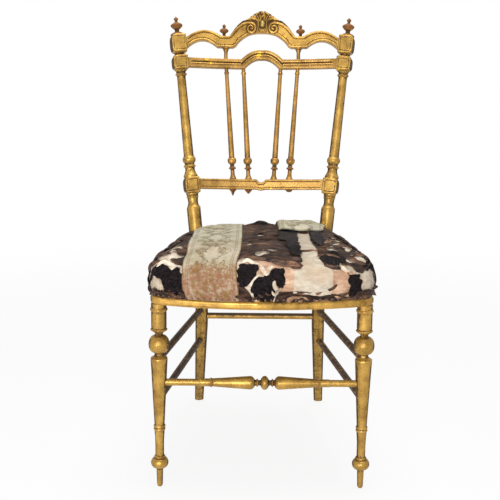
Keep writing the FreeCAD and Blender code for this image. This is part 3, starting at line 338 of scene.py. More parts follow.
def mesh_piece(name, grids, finish, uv=None):
    """A piece from grids of points (rows, columns, 3), each a tuple with its relief and whether it closes.

    Neighbouring points of a grid make its quads; a closed grid joins its last column to its first.
    Points that meet, as at a pole, are merged, and the faces are turned outwards.
    """
    points, faces, shades = [], [], []
    for grid, shade, closed in grids:
        rows, columns = grid.shape[:2]
        first = sum(len(p) for p in points)
        index = first + np.arange(rows * columns).reshape(rows, columns)
        if closed:
            index = np.concatenate([index, index[:, :1]], axis=1)
        quads = np.stack([index[:-1, :-1], index[:-1, 1:], index[1:, 1:], index[1:, :-1]], axis=-1)
        points.append(grid.reshape(-1, 3))
        faces.append(quads.reshape(-1, 4))
        shades.append(np.broadcast_to(shade, (rows, columns)).ravel())
    mesh = bpy.data.meshes.new(name)
    mesh.from_pydata(np.concatenate(points), [], np.concatenate(faces).tolist())
    mesh.attributes.new("relief", "FLOAT", "POINT").data.foreach_set(
        "value", np.concatenate(shades).astype(np.float32))
    if uv is not None:
        mesh.attributes.new("cloth", "FLOAT_VECTOR", "POINT").data.foreach_set(
            "vector", uv.reshape(-1, 3).astype(np.float32).ravel())
    work = bmesh.new()
    work.from_mesh(mesh)
    bmesh.ops.remove_doubles(work, verts=work.verts, dist=1e-6)
    bmesh.ops.dissolve_degenerate(work, edges=work.edges, dist=1e-7)
    bmesh.ops.recalc_face_normals(work, faces=work.faces)
    work.to_mesh(mesh)
    work.free()
    mesh.shade_smooth()
    mesh.set_sharp_from_angle(angle=math.radians(48.0))
    mesh.materials.append(finish)
    piece = in_scene(name, mesh)
    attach(piece, "root")
    return piece


def eased(values, times):
    """Each inner value moved half way to the mean of its two neighbours, again and again; ends are held."""
    values = values.copy()
    for _ in range(times):
        values[1:-1] = (values[:-2] + 2.0 * values[1:-1] + values[2:]) / 4.0
    return values


def run_along(line):
    """The distance from the first point of a line to each of its points, straight run by straight run."""
    return np.concatenate([[0.0], np.cumsum(np.linalg.norm(np.diff(line, axis=0), axis=1))])


def blurred(values, width):
    """A running mean along the first axis, with the ends held."""
    pad = width // 2
    held = np.pad(values, (pad, pad), mode="edge")
    return np.convolve(held, np.ones(width) / width, mode="same")[pad:-pad]


def profile(rows, length, unit):
    """A turner's profile from rows of (share of the length, share of the radius, swell).

    A swell bows the run that leads to its row: sqrt(1 - t*t) for a full ball, 1 - t*t for less.
    The corners are softened, and relief tells how far each point stands out of its surroundings.
    A point is kept wherever the line has turned or run on far enough since the last one.
    """
    up, out = [], []
    for first, last in zip(rows[:-1], rows[1:]):
        swell = last[2] if len(last) > 2 else 0.0
        ball = abs(swell) > ball_swell
        t = np.linspace(0.0, 1.0, run_steps)
        if ball:
            t = 0.5 - 0.5 * np.cos(math.pi * t)
        across = 1.0 - (2.0 * t - 1.0) ** 2
        bow = np.sqrt(across) if ball else across
        up.append((first[0] + (last[0] - first[0]) * t) * length)
        out.append((first[1] + (last[1] - first[1]) * t + swell * bow) * unit)
    up, out = np.concatenate(up), np.concatenate(out)
    way = np.concatenate([[0.0], np.cumsum(np.hypot(np.diff(up), np.diff(out)))])
    even = np.arange(0.0, way[-1], profile_spacing)
    up, out = eased(np.interp(even, way, up), 2), eased(np.interp(even, way, out), 2)
    stands = np.clip((out - blurred(out, relief_window)) / relief_height, -1.0, 1.0)
    heading = np.arctan2(np.gradient(out), np.gradient(up))
    turn = np.abs(np.diff(heading, prepend=heading[0]))
    share = np.floor(np.cumsum(turn) / kept_turn) + np.floor(np.arange(len(up)) / kept_run)
    kept = np.concatenate([[True], np.diff(share) > 0])
    kept[-1] = True
    return up[kept], out[kept], stands[kept]


def ring_grid(centres, ways, radii, side, steps=turning_steps):
    """Circles of the radii about the centres, square to the ways; side fixes where each starts."""
    ways = ways / np.linalg.norm(ways, axis=1)[:, None]
    first = np.cross(ways, np.broadcast_to(side, ways.shape))
    first /= np.linalg.norm(first, axis=1)[:, None]
    second = np.cross(ways, first)
    angle = np.linspace(0.0, 2.0 * math.pi, steps, endpoint=False)
    spoke = first[:, None] * np.cos(angle)[None, :, None] + second[:, None] * np.sin(angle)[None, :, None]
    return centres[:, None] + spoke * radii[:, None, None]


def turned_grid(foot, head, rows, unit, steps=turning_steps):
    """A turning from foot to head, closed at both ends."""
    foot, head = np.array(foot, float), np.array(head, float)
    length = np.linalg.norm(head - foot)
    axis = (head - foot) / length
    up, out, stands = profile(rows, length, unit)
    up = np.concatenate([up[:1], up, up[-1:]])
    out = np.concatenate([[0.0], out, [0.0]])
    stands = np.concatenate([stands[:1], stands, stands[-1:]])
    centres = foot + up[:, None] * axis
    side = (0.0, 1.0, 0.0) if abs(axis[1]) < 0.8 else (1.0, 0.0, 0.0)
    return ring_grid(centres, np.broadcast_to(axis, centres.shape), out, side, steps), stands[:, None], True


front_leg_rows = [
    (0.0, 0.18), (0.004, 0.24), (0.011, 0.28), (0.106, 0.33), (0.108, 0.46), (0.162, 0.46, 0.39),
    (0.163, 0.52), (0.172, 0.52, 0.04), (0.174, 0.42), (0.252, 0.42), (0.311, 0.49), (0.316, 0.50),
    (0.329, 0.50, 0.08), (0.331, 0.50), (0.345, 0.50, 0.09), (0.349, 0.49), (0.690, 0.80), (0.703, 0.82),
    (0.710, 0.80), (0.730, 0.44, -0.12),
    (0.738, 0.43), (0.739, 0.50), (0.828, 0.46, 0.52), (0.829, 0.38), (0.836, 0.37), (0.850, 0.60, -0.06),
    (0.854, 0.70), (0.866, 0.72, 0.11), (0.869, 0.70), (0.872, 0.73), (0.955, 0.73), (0.958, 0.76),
    (0.974, 0.76, 0.08), (0.976, 0.73), (1.0, 0.74),
]
for name, side in both_sides:
    foot = np.array(front_leg_foot) * (side, 1, 1)
    head = np.array(front_leg_head) * (side, 1, 1)
    leg = mesh_piece("front_leg_turned_" + name,
                     [turned_grid(foot, head, front_leg_rows, front_leg_unit)], turned_gilt)
    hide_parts("front_leg_" + name)

# Rear posts: one raked and splayed stick each, turned above the seat and plain below it.
# Three square blocks take the rails; each block has a scratched square on its faces.

seat_line, post_level = 0.1399, 0.382
post_base = (0.1415, seat_line, post_level)
post_rake, post_splay, post_turn = (math.radians(a) for a in (10.8, 5.9, 15.0))
post_unit = 0.0156
post_length = 0.5055
rear_bend_level, rear_bend_run = 0.285, 0.075
rear_foot = (0.147, 0.2439, 0.0)
rear_leg_radius, rear_foot_radius, leg_steps = 0.0144, 0.0104, 12
block_half = 0.017
block_rim, block_rim_share, block_corner_share = 0.0016, 0.045, 0.10
block_hollow, block_dome_middle, block_dome_top = 0.0045, 0.0010, 0.0016
block_places = ((0.1466, 0.0356), (0.4270, 0.0309), (0.4656, 0.0399))
post_finial_height, post_finial_unit = 0.0415, 0.014
scratch_place, scratch_width, scratch_depth, panel_depth = 0.0052, 0.0008, 0.0010, 0.0003

lower_post_rows = [
    (0.0, 1.0), (0.776, 1.0), (0.790, 0.94), (0.795, 0.88), (0.864, 0.72, -0.05), (0.925, 0.78),
    (0.930, 0.80), (0.952, 0.80, 0.10), (0.958, 0.80), (1.0, 0.90, 0.03),
]
upper_post_rows = [
    (0.0, 1.0), (0.003, 1.02), (0.020, 1.02), (0.026, 0.95), (0.072, 0.69, -0.05), (0.088, 0.70),
    (0.094, 0.78), (0.112, 0.78, 0.13), (0.118, 0.70), (0.130, 0.70), (0.196, 0.74, 0.24), (0.204, 0.72),
    (0.935, 0.62), (0.943, 0.68), (0.966, 0.68, 0.17), (0.970, 0.66), (1.0, 0.92, -0.04),
]
waist_rows = [(0.0, 0.90), (0.5, 0.66, -0.06), (1.0, 0.90, -0.06)]
post_finial_rows = [
    (0.0, 1.14), (0.03, 1.10), (0.15, 0.46, 0.10), (0.20, 0.37, -0.02), (0.28, 0.36), (0.31, 0.42),
    (0.52, 0.99, 0.10), (0.66, 0.42, 0.12), (0.70, 0.30), (0.77, 0.20, -0.04), (0.80, 0.26),
    (0.90, 0.34, 0.06), (1.0, 0.03),
]


def post_axis(side):
    """The post's direction: upwards, leaning back by the rake and out by the splay, of length 1."""
    axis = np.array([side * math.tan(post_splay), math.tan(post_rake), 1.0])
    return axis / np.linalg.norm(axis)


def mirrored(place, side):
    """A place of the right side, or its mirror image for side -1."""
    return np.array(place) * (side, 1, 1)


def rear_leg_path(side, count=26):
    """The foot, a curve of three control points about the bend, and the base of the post."""
    axis, base, foot = post_axis(side), mirrored(post_base, side), mirrored(rear_foot, side)
    bend = base + axis * (rear_bend_level - base[2]) / axis[2]
    down = (foot - bend) / np.linalg.norm(foot - bend)
    t = np.linspace(0.0, 1.0, count)[:, None]
    low, high = bend + down * rear_bend_run, bend + axis * rear_bend_run
    curve = low * (1 - t) ** 2 + bend * 2 * t * (1 - t) + high * t ** 2
    straight = foot + (low - foot) * np.linspace(0.0, 1.0, leg_steps)[:-1, None]
    return np.concatenate([straight, curve, [base]])


def bounded(values):
    """The values, held between 0 and 1."""
    return np.clip(values, 0.0, 1.0)


def dent(distance, place, width):
    """A bell of height 1 at a distance, that wide."""
    return np.exp(-((distance - place) / width) ** 2)


def block_grid(centre, out, back, axis, start, height):
    """A square block: sides with a scratched square, eased corners, and two ends that dome slightly."""
    count = 22
    across = np.linspace(-1.0, 1.0, count, endpoint=False)
    ones = np.ones(count)
    ring = np.concatenate([np.stack([across, -ones], 1), np.stack([ones, across], 1),
                           np.stack([-across, ones], 1), np.stack([-ones, -across], 1)])
    ease = np.sqrt(1.0 - block_corner_share * (ring[:, 0] * ring[:, 1]) ** 8)
    along = np.linspace(0.0, 1.0, 34)
    end = np.minimum(along, 1.0 - along) * height
    rim = bounded(end / block_rim)
    half = block_half * (1.0 - block_rim_share + block_rim_share * np.sqrt(1.0 - (1.0 - rim) ** 2))
    free = np.minimum(np.abs(ring[:, 0]), np.abs(ring[:, 1]))
    from_side = (1.0 - free)[None, :] * block_half
    near = np.minimum(from_side, end[:, None])
    groove = dent(near, scratch_place, scratch_width)
    inner = bounded((near - scratch_place) / 0.005)
    radius = half[:, None] * ease[None, :] - groove * scratch_depth - inner * panel_depth
    outer = bounded(ring[:, 0]) ** 2
    radius = radius - block_hollow * outer[None, :] * (np.abs(2.0 * along - 1.0) ** 4)[:, None]
    plane = out[None, None] * ring[None, :, 0, None] + back[None, None] * ring[None, :, 1, None]
    level = centre + axis * (start + along * height)[:, None]
    side_rows = level[:, None] + plane * radius[..., None]
    edge = 1.0 - bounded(near / 0.0015)
    shade = edge * 0.7 - groove * 1.6
    ends = []
    for row, way in ((side_rows[0], -1.0), (side_rows[-1], 1.0)):
        middle = row.mean(axis=0)
        rise = np.array([0.0, block_dome_middle, block_dome_top])[:, None, None] * axis * way
        share = np.array([1.0, 0.85, 0.0])[:, None, None]
        ends.append(middle + (row[None] - middle) * share + rise)
    grid = np.concatenate([ends[0][::-1][:2], side_rows, ends[1][1:]])
    shade = np.concatenate([np.zeros((2, shade.shape[1])), shade, np.zeros((2, shade.shape[1]))])
    return grid, shade, True


for name, side in both_sides:
    axis, base = post_axis(side), mirrored(post_base, side)
    out = np.array([side * math.cos(post_turn), -math.sin(post_turn), 0.0])
    back = np.cross(axis, out)
    back /= np.linalg.norm(back)
    out = np.cross(back, axis)
    path = rear_leg_path(side)
    way = np.gradient(path, axis=0)
    run = run_along(path)
    taper = bounded(run / run[leg_steps])
    leg_radii = rear_foot_radius + (rear_leg_radius - rear_foot_radius) * taper
    leg_grid = ring_grid(path, way, leg_radii, out)
    sole = leg_grid[:1].copy()
    sole[..., 2] = 0.0
    heel = np.broadcast_to(path[0], sole.shape)
    leg_grid = np.concatenate([heel, sole, leg_grid[1:]])
    (first, first_tall), (second, second_tall), (third, _) = block_places
    sections = [turned_grid(base + axis * low, base + axis * high, rows, unit) for rows, low, high, unit in (
        (lower_post_rows, 0.0, first, post_unit),
        (upper_post_rows, first + first_tall, second, post_unit),
        (waist_rows, second + second_tall, third, post_unit),
        (post_finial_rows, post_length, post_length + post_finial_height, post_finial_unit))]
    blocks = [block_grid(base, out, back, axis, start, height) for start, height in block_places]
    # The plain legs below the seat get relief -0.40, which darkens their gilding: partly dirt and partly
    # painted shade under the seat.
    shell = [(leg_grid, np.full((len(leg_grid), 1), -0.40), True)] + sections[:-1] + blocks
    post = mesh_piece("rear_post_turned_" + name, shell, turned_gilt)
    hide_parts("rear_post_" + name)
    finial = mesh_piece("post_finial_" + name, sections[-1:], worn_gilt)

# Back rails: three rails sawn from one curve in plan, with worked faces towards the sitter.
# A rail is a section carried from post to post: its face has rows from the underside to the top.

back_origin = np.array([0.0, seat_line, post_level])
back_up = np.array([0.0, math.sin(post_rake), math.cos(post_rake)])
back_deep = np.array([0.0, math.cos(post_rake), -math.sin(post_rake)])
rail_half_thickness, rail_rounding = 0.0085, 0.0012


def half_span(height):
    """Half the distance between the post axes at a height up the back."""
    return post_base[0] + height * math.cos(post_rake) * math.tan(post_splay)


def bowed(across, rail_height):
    """How far the rail of that height stands behind the posts' line at a place across."""
    half = half_span(rail_height)
    radius = half / math.sin(post_turn)
    return np.sqrt(radius ** 2 - across ** 2) - radius * math.cos(post_turn)


def on_back(across, deep, height):
    """Places of the raked back: across it, square to it towards the rear, and up along it."""
    return back_origin + across[..., None] * np.array([1.0, 0.0, 0.0]) \
        + deep[..., None] * back_deep + height[..., None] * back_up


def outline_between(points, across):
    """A line through (across, height, rise) points, the same on both sides; a rise bows its run."""
    place = np.abs(across)
    heights = np.interp(place, [p[0] for p in points], [p[1] for p in points])
    for first, last in zip(points[:-1], points[1:]):
        if len(last) > 2:
            t = bounded((place - first[0]) / (last[0] - first[0]))
            heights = heights + last[2] * (1.0 - (2.0 * t - 1.0) ** 2)
    return heights


def rail_grid(under, top, rail_height, reach, face, columns=361, rows=68):
    """A rail between its under and top lines, round at its long edges and closed at its ends.

    face(across, height, from_low, from_high) gives how far the front stands out there, and its relief.
    """
    across = np.linspace(-reach, reach, columns)
    low, high = outline_between(under, across), outline_between(top, across)
    slope_low, slope_high = np.gradient(low, across), np.gradient(high, across)
    share = np.linspace(0.0, 1.0, rows)[:, None]
    height = low + (high - low) * share
    from_low = (height - low) / np.hypot(1.0, slope_low)
    from_high = (high - height) / np.hypot(1.0, slope_high)
    stands, shade = face(np.broadcast_to(across, height.shape), height, from_low, from_high)
    edge = np.minimum(from_low, from_high)
    fall = bounded(1.0 - edge / rail_rounding)
    stands = stands - rail_rounding * (1.0 - np.sqrt(1.0 - fall ** 2))
    middle = bowed(across, rail_height)
    front = on_back(np.broadcast_to(across, height.shape), middle - rail_half_thickness - stands, height)
    back_rows = share[::4][::-1]
    back_height = low + (high - low) * back_rows
    rear = on_back(np.broadcast_to(across, back_height.shape),
                   np.broadcast_to(middle + rail_half_thickness, back_height.shape), back_height)
    rear_shade = np.where((back_rows < 0.05) | (back_rows > 0.95), 0.5, 0.0) * np.ones_like(back_height)
    grid = np.concatenate([front, rear, front[:1]])
    shade = np.concatenate([shade + fall * 0.7, rear_shade, shade[:1] + 0.7])
    caps = [np.broadcast_to(grid[:, end].mean(axis=0), grid[:, :1].shape) for end in (0, -1)]
    grid = np.concatenate([caps[0], grid, caps[1]], axis=1)
    shade = np.pad(shade, ((0, 0), (1, 1)), mode="edge")
    return grid, shade, False


# Lower rail: a gilt bar tenoned between the lowest post blocks, with a scratched border.
# It has a round notch in its top edge over a small scallop in the lower one.

lower_middle, lower_low, lower_high = 0.16725, 0.1555, 0.1790
notch_half, notch_depth, scallop_depth = 0.011, 0.007, 0.0023
border_groove, border_bead = (0.0052, 0.0007), (0.0026, 0.0016)
rail_gilt = gilt_finish("rail_gilt", 0.14, 0.26, tone(0.72, 0.56, 0.30))
block_reach = block_half / math.cos(post_turn)


def clear_of_blocks(across, rail_height, room, fade):
    """1 between the post blocks of a rail less the room beside them, fading to 0 towards them."""
    return bounded((half_span(rail_height) - block_reach - room - np.abs(across)) / fade)


def lower_face(across, height, from_low, from_high):
    """A groove and a bead beside it, each a bell at its distance from both edges, up to the blocks."""
    inside = clear_of_blocks(across, lower_middle, 0.006, 0.001)
    groove = (dent(from_low, *border_groove) + dent(from_high, *border_groove)) * inside
    bead = (dent(from_low, *border_bead) + dent(from_high, *border_bead)) * inside
    return bead * 0.0004 - groove * 0.0010, bead * 0.35 - groove


lower_reach = half_span(lower_middle) - block_half
lower_under = [(0.0, lower_low - scallop_depth), (notch_half, lower_low), (lower_reach, lower_low)]
lower_top = [(0.0, lower_high - notch_depth), (0.004, lower_high - 0.0065), (0.010, lower_high - 0.001),
             (notch_half, lower_high), (lower_reach, lower_high)]
lower_rail = mesh_piece("lower_rail", [rail_grid(lower_under, lower_top, lower_middle, lower_reach,
                                                 lower_face)], rail_gilt)
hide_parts("lower_back_rail")

# Arched rail: a gilt bar tenoned between the middle post blocks and sawn to a low arch in the middle.
# Its moulded face has one deep dark groove that follows the arch.

arched_middle, arched_low, arched_high = 0.4423, 0.4316, 0.4530
arch_half, arch_rise = 0.040, 0.0205
deep_groove, fine_groove, faint_groove = (0.0087, 0.0012), (0.0142, 0.0005), (0.0182, 0.0004)
top_bead, middle_bead, low_bead = (0.0040, 0.0020), (0.0122, 0.0010), (0.0024, 0.0014)


def arched_face(across, height, from_low, from_high):
    """One deep and two fine grooves and three beads, each a bell at its distance from an edge."""
    inside = clear_of_blocks(across, arched_middle, 0.009, 0.0012)
    deep = dent(from_high, *deep_groove) * inside
    fine = (dent(from_high, *fine_groove) + dent(from_high, *faint_groove) * 0.6) * inside
    beads = (dent(from_high, *top_bead) + dent(from_high, *middle_bead) + dent(from_low, *low_bead)) * inside
    return beads * 0.0006 - deep * 0.0028 - fine * 0.0008, beads * 0.4 - deep * 1.6 - fine


arched_reach = half_span(arched_middle) - block_half
arched_under = [(0.0, arched_low + arch_rise), (arch_half, arched_low, 0.0065),
                (arched_reach, arched_low)]
arched_top = [(0.0, arched_high + arch_rise), (arch_half + 0.0071, arched_high, 0.0070),
              (arched_reach, arched_high)]
arched_rail = mesh_piece("arched_rail_worked", [rail_grid(arched_under, arched_top, arched_middle,
                                                          arched_reach, arched_face)], rail_gilt)
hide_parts("arched_rail")

# Crest rail: a gilt bar between the top blocks, carved from the solid, with a low arch at each side
# and a high one in the middle. Two raised beads edge it; the upper one rolls up into a volute on each
# side of the middle, and leaves are carved outside it.

crest_middle, crest_high, crest_band = 0.48634, 0.5324, 0.0245
crest_flat_share, crest_shoulder_share = 1.12, 2.17
crest_half = half_span(crest_middle)
volute_place = (0.0252, 0.5240)
volute_bend_shares = (0.0, 0.5, 1.0, 1.5, 2.0, 2.5, 3.0)
volute_radii = (0.0118, 0.0093, 0.0105, 0.0078, 0.0056, 0.0036, 0.0018)
bead_half, bead_stand, bead_groove = 0.0026, 0.0019, 0.0009
heart_half, low_bead_end, drawn_bead_end = 0.0019, 0.0345, 0.0800
leafage_inner, leafage_outer, vein_height = 0.0290, 0.0745, 0.0015
bead_slope = [(0.0880, 0.5023), (0.0750, 0.5025), (0.0705, 0.5060), (0.0642, 0.5146), (0.0569, 0.5233),
              (0.0453, 0.5319), (0.0340, 0.5360)]


def drawn_line(points, count, times=3):
    """An open line through the points, evenly spaced and softened, with its ends held."""
    points = np.array(points)
    run = run_along(points)
    even = np.linspace(0.0, run[-1], count)
    line = np.stack([np.interp(even, run, points[:, i]) for i in range(points.shape[1])], 1)
    return eased(line, times)


def near_line(across, height, line):
    """How far each place is from a line of points."""
    nearest = np.full(across.shape, 1.0)
    for (ax, ay), (bx, by) in zip(line[:-1], line[1:]):
        dx, dy = bx - ax, by - ay
        t = bounded(((across - ax) * dx + (height - ay) * dy) / (dx * dx + dy * dy))
        nearest = np.minimum(nearest, np.hypot(across - ax - t * dx, height - ay - t * dy))
    return nearest


def rounded(distance, half):
    """The height of a round bead at a distance from its line, as a share."""
    return np.sqrt(bounded(1.0 - (distance / half) ** 2))


def volute_line(low, high, count=40):
    """The winding of the volute between two half turns: inwards, down, outwards and up."""
    turn = np.linspace(low, high, count)
    far = np.interp(turn, volute_bend_shares, volute_radii)
    return np.stack([volute_place[0] - far * np.sin(turn * math.pi),
                     volute_place[1] + far * np.cos(turn * math.pi)], 1)


crest_bead = drawn_line(np.concatenate([bead_slope, volute_line(0.0, 1.5)]), 90, 2)
volute_heart = volute_line(1.45, 3.0)


def crest_points(shares):
    """Points from shares of the half width, and of the band downwards from the crest's height."""
    return [(crest_half * row[0], crest_high - crest_band * row[1]) +
            tuple(crest_band * rise for rise in row[2:]) for row in shares]


crest_top = crest_points([(0.0, -0.36), (0.160, -0.36), (0.180, -0.42), (0.2306, -0.34), (0.264, -0.13),
                          (0.298, 0.12), (0.335, 0.48), (0.362, 0.80), (0.384, 1.02),
                          (0.400, crest_flat_share), (0.493, crest_flat_share), (0.900, 1.38, 0.60),
                          (1.0, 1.80)])
crest_under = crest_points([(0.0, 0.77), (0.166, 0.97, 0.07), (0.279, 1.62, 0.05), (0.316, 2.02),
                            (0.350, 2.18), (0.540, 2.18), (0.900, 2.40, 0.68), (1.0, 2.80)])
frond_lines = [
    (0.0017, [(0.0095, 0.5400), (0.0090, 0.5330), (0.0103, 0.5240), (0.0125, 0.5150), (0.0165, 0.5095)]),
    (0.0014, [(0.0, 0.5215), (0.0, 0.5075)]),
    (0.0013, [(0.0018, 0.5205), (0.0040, 0.5080)]),
    (0.0013, [(0.0035, 0.5205), (0.0080, 0.5085)]),
    (0.0012, [(0.0055, 0.5225), (0.0100, 0.5135)]),
]


def crest_face(across, height, from_low, from_high):
    """Round beads on their lines with a groove on both sides, wavy veins on the leaves outside the
    upper bead, and a sunk ground between the volutes.
    """
    place = np.abs(across)
    stop = clear_of_blocks(across, crest_middle, 0.004, 0.001)
    to_bead = np.where(place < drawn_bead_end, near_line(place, height, crest_bead),
                       np.abs(from_high - bead_half))
    to_low = np.where(place > low_bead_end, np.abs(from_low - bead_half), 1.0)
    slope = np.array(bead_slope)[::-1]
    above = height > np.interp(place, slope[:, 0], slope[:, 1]) + bead_half * 0.8
    leafage = above & (place > leafage_inner) & (place < leafage_outer)
    between = (np.hypot(place - volute_place[0], height - volute_place[1]) < volute_radii[0]) \
        | (place < volute_place[0])
    raised = np.maximum(rounded(to_bead, bead_half) * stop, rounded(to_low, bead_half) * stop)
    raised = np.maximum(raised, rounded(near_line(place, height, volute_heart), heart_half))
    for wide, line in frond_lines:
        raised = np.maximum(raised, rounded(near_line(place, height, line), wide) * 0.8)
    groove_place = bead_half + bead_groove
    groove = (dent(to_bead, groove_place, bead_groove) + dent(to_low, groove_place, bead_groove)) * stop
    veins = 0.5 + 0.5 * np.sin((place * 1.25 - height * 0.8) * 1300.0 + 3.0 * np.sin(height * 500.0))
    flat = (raised < 0.05) & ~leafage & ~between
    stands = raised * bead_stand - groove * bead_groove + flat * 0.0003
    shade = raised * 0.35 - groove * 1.5
    # The leaves and the sunk ground between the volutes get relief far below 0, which paints them dark brown:
    # partly dirt in the carving and partly painted shade.
    stands = np.where(leafage & (raised < 0.35), veins * vein_height - 0.0003, stands)
    shade = np.where(leafage & (raised < 0.35), veins * 1.2 - 2.6, shade)
    shade = np.where(between & ~leafage & (raised < 0.35), -1.5, shade)
    return stands, shade


crest_reach = crest_half - block_half
crest_rail = mesh_piece("crest_rail_carved", [rail_grid(crest_under, crest_top, crest_middle, crest_reach,
                                                        crest_face, 521, 86)], carved_gilt)
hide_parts("crest_rail")

# Crest shell: gilt leaves carved over the middle of the crest, above the cabochon and the volutes.
# It is a piece of its own, glued on top of the rail and cut in the same bow.

shell_half, shell_stand, shell_thickness = 0.0368, 0.0024, 0.0006
shell_under = [(0.0, 0.5372), (0.013, 0.5377), (0.018, 0.5405), (shell_half, 0.5407)]
shell_top = [(0.0, 0.5627), (0.0074, 0.5617), (0.0155, 0.5571), (0.0180, 0.5562), (0.0224, 0.5524),
             (0.0265, 0.5505), (0.0300, 0.5459), (shell_half, 0.5439)]
shell_lines = [
    (0.0016, 0.7, [(0.0030, 0.5397), (0.0058, 0.5527)]),
    (0.0016, 0.7, [(0.0062, 0.5397), (0.0118, 0.5507)]),
    (0.0016, 0.7, [(0.0095, 0.5392), (0.0165, 0.5467)]),
    (0.0030, 1.0, [(0.0180, 0.5442), (0.0235, 0.5467), (0.0290, 0.5442)]),
    (0.0022, 1.0, [(0.0160, 0.5495), (0.0205, 0.5509), (0.0240, 0.5482)]),
    (0.0018, 0.9, [(0.0080, 0.5592), (0.0125, 0.5557), (0.0150, 0.5527)]),
    (0.0015, 0.8, [(0.0300, 0.5432), (0.0360, 0.5427)]),
]
curled_leaf = [(-0.0020, 0.5582), (0.0015, 0.5602), (0.0042, 0.5572), (0.0025, 0.5527), (-0.0012, 0.5492)]


def shell_face(across, height, from_low, from_high):
    """Round ribs on their lines, the curled leaf in the middle, and a thin rim along the top."""
    raised = rounded(near_line(across, height, curled_leaf), 0.0022) * 1.2
    for wide, share, line in shell_lines:
        raised = np.maximum(raised, rounded(near_line(np.abs(across), height, line), wide) * share)
    rim = rounded(from_high - 0.0008, 0.0013) * 0.5
    stands = np.maximum(raised, rim) * shell_stand + shell_thickness
    # Off the ribs the ground gets relief far below 0, which paints it dark brown: partly dirt in the carving
    # and partly painted shade.
    return stands, np.where(raised > 0.25, raised * 0.4, rim * 0.4 - 2.1)


crest_shell = mesh_piece("crest_shell", [rail_grid(shell_under, shell_top, crest_middle, shell_half,
                                                   shell_face, 221, 60)], carved_gilt)
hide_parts("crest_carving")

# Cabochon: an oval wooden boss glued between the volutes.
# Its gold is painted pale as a highlight and is hardly soiled, so that it stands out bright against the dark
# carving.

cabochon_half, cabochon_tall, cabochon_stand, cabochon_level = 0.0054, 0.0080, 0.0052, 0.5334
pale_highlight_gilt = gilt_finish("pale_highlight_gilt", 0.0, 0.0, tone(0.99, 0.90, 0.58))
rise = np.linspace(0.0, math.pi / 2, 12)[:, None]
angle = np.linspace(0.0, 2.0 * math.pi, 40, endpoint=False)[None]
boss = on_back(cabochon_half * np.cos(rise) * np.cos(angle),
               bowed(0.0, crest_middle) - rail_half_thickness - cabochon_stand * np.sin(rise) + 0.0 * angle,
               cabochon_level + cabochon_tall * np.cos(rise) * np.sin(angle))
# The pale gold of the boss is a painted highlight.
cabochon = mesh_piece("cabochon", [(boss, 0.2, True)], pale_highlight_gilt)
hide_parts("crest_cabochon")

# Spindles: four slender gilt turnings that fan upwards between the lower and the arched rail, and two
# short ones from there to the crest. Round tenons hold them, and their gold is rubbed brown.

outer_foot, outer_head, inner_foot, inner_head = 0.0643, 0.0815, 0.0288, 0.0425
spindle_unit, short_spindle_unit, short_spindle_place, slender_steps = 0.0105, 0.0086, 0.0830, 32
spindle_gilt = gilt_finish("spindle_gilt", 0.34, 0.40, tone(0.77, 0.58, 0.30))
spindle_rows = [
    (0.0, 0.72), (0.008, 0.74), (0.014, 0.66), (0.055, 0.44, -0.07), (0.086, 0.42), (0.090, 0.54),
    (0.108, 0.54, 0.27), (0.112, 0.50), (0.122, 0.46), (0.134, 0.44), (0.193, 0.60, 0.42), (0.200, 0.60),
    (0.946, 0.40), (0.950, 0.44), (0.972, 0.44, 0.12), (0.976, 0.40), (1.0, 0.42),
]
short_spindle_rows = [(0.0, 0.50), (0.05, 0.48), (0.62, 0.48), (0.70, 0.58), (0.84, 0.64, 0.08),
                      (0.90, 0.95), (1.0, 1.0)]


def back_place(across, height, rail_height):
    """A place in the middle of the rail of that height, where a turning is tenoned in."""
    return on_back(np.array(across), bowed(np.array(across), rail_height), np.array(height))


for kind, low, high in (("outer", outer_foot, outer_head), ("inner", inner_foot, inner_head)):
    for name, side in both_sides:
        foot = back_place(low * side, lower_high, lower_middle)
        head = back_place(high * side, arched_low, arched_middle)
        spindle = mesh_piece("back_spindle_" + kind + "_" + name, [turned_grid(
            foot, head, spindle_rows, spindle_unit, slender_steps)], spindle_gilt)
        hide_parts("spindle_" + kind + "_" + name)
crest_shoulder = crest_high - crest_shoulder_share * crest_band
for name, side in both_sides:
    foot = back_place(short_spindle_place * side, arched_high, arched_middle)
    head = back_place(short_spindle_place * side, crest_shoulder, crest_middle)
    spindle = mesh_piece("crest_spindle_" + name, [turned_grid(
        foot, head, short_spindle_rows, short_spindle_unit, slender_steps)], spindle_gilt)
    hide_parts("short_spindle_" + name)

# Small finials: turned knobs pegged into the two flats of the crest.
# They are rubbed to the bole, as the large ones on the posts are.

crest_finial_rows = [
    (0.0, 0.60), (0.05, 0.42), (0.10, 0.36, -0.03), (0.22, 0.36), (0.26, 0.46), (0.43, 1.02, 0.12),
    (0.47, 1.02), (0.63, 0.48, 0.15), (0.67, 0.32), (0.72, 0.27), (0.76, 0.32), (0.88, 0.36, 0.08),
    (1.0, 0.03),
]
crest_flat = crest_high - crest_flat_share * crest_band
crest_finial_place, crest_finial_height, crest_finial_unit = 0.0874, 0.0283, 0.0099
for name, side in both_sides:
    foot = back_place(crest_finial_place * side, crest_flat, crest_middle)
    head = back_place(crest_finial_place * side, crest_flat + crest_finial_height, crest_middle)
    finial = mesh_piece("small_finial_" + name,
                        [turned_grid(foot, head, crest_finial_rows, crest_finial_unit)], worn_gilt)
    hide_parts("crest_finial_" + name)

# Drops: small turned points pegged under the lower rail, below the spindles.
# One is whole, one is worn blunt and one is broken short; all are rubbed to the bole.

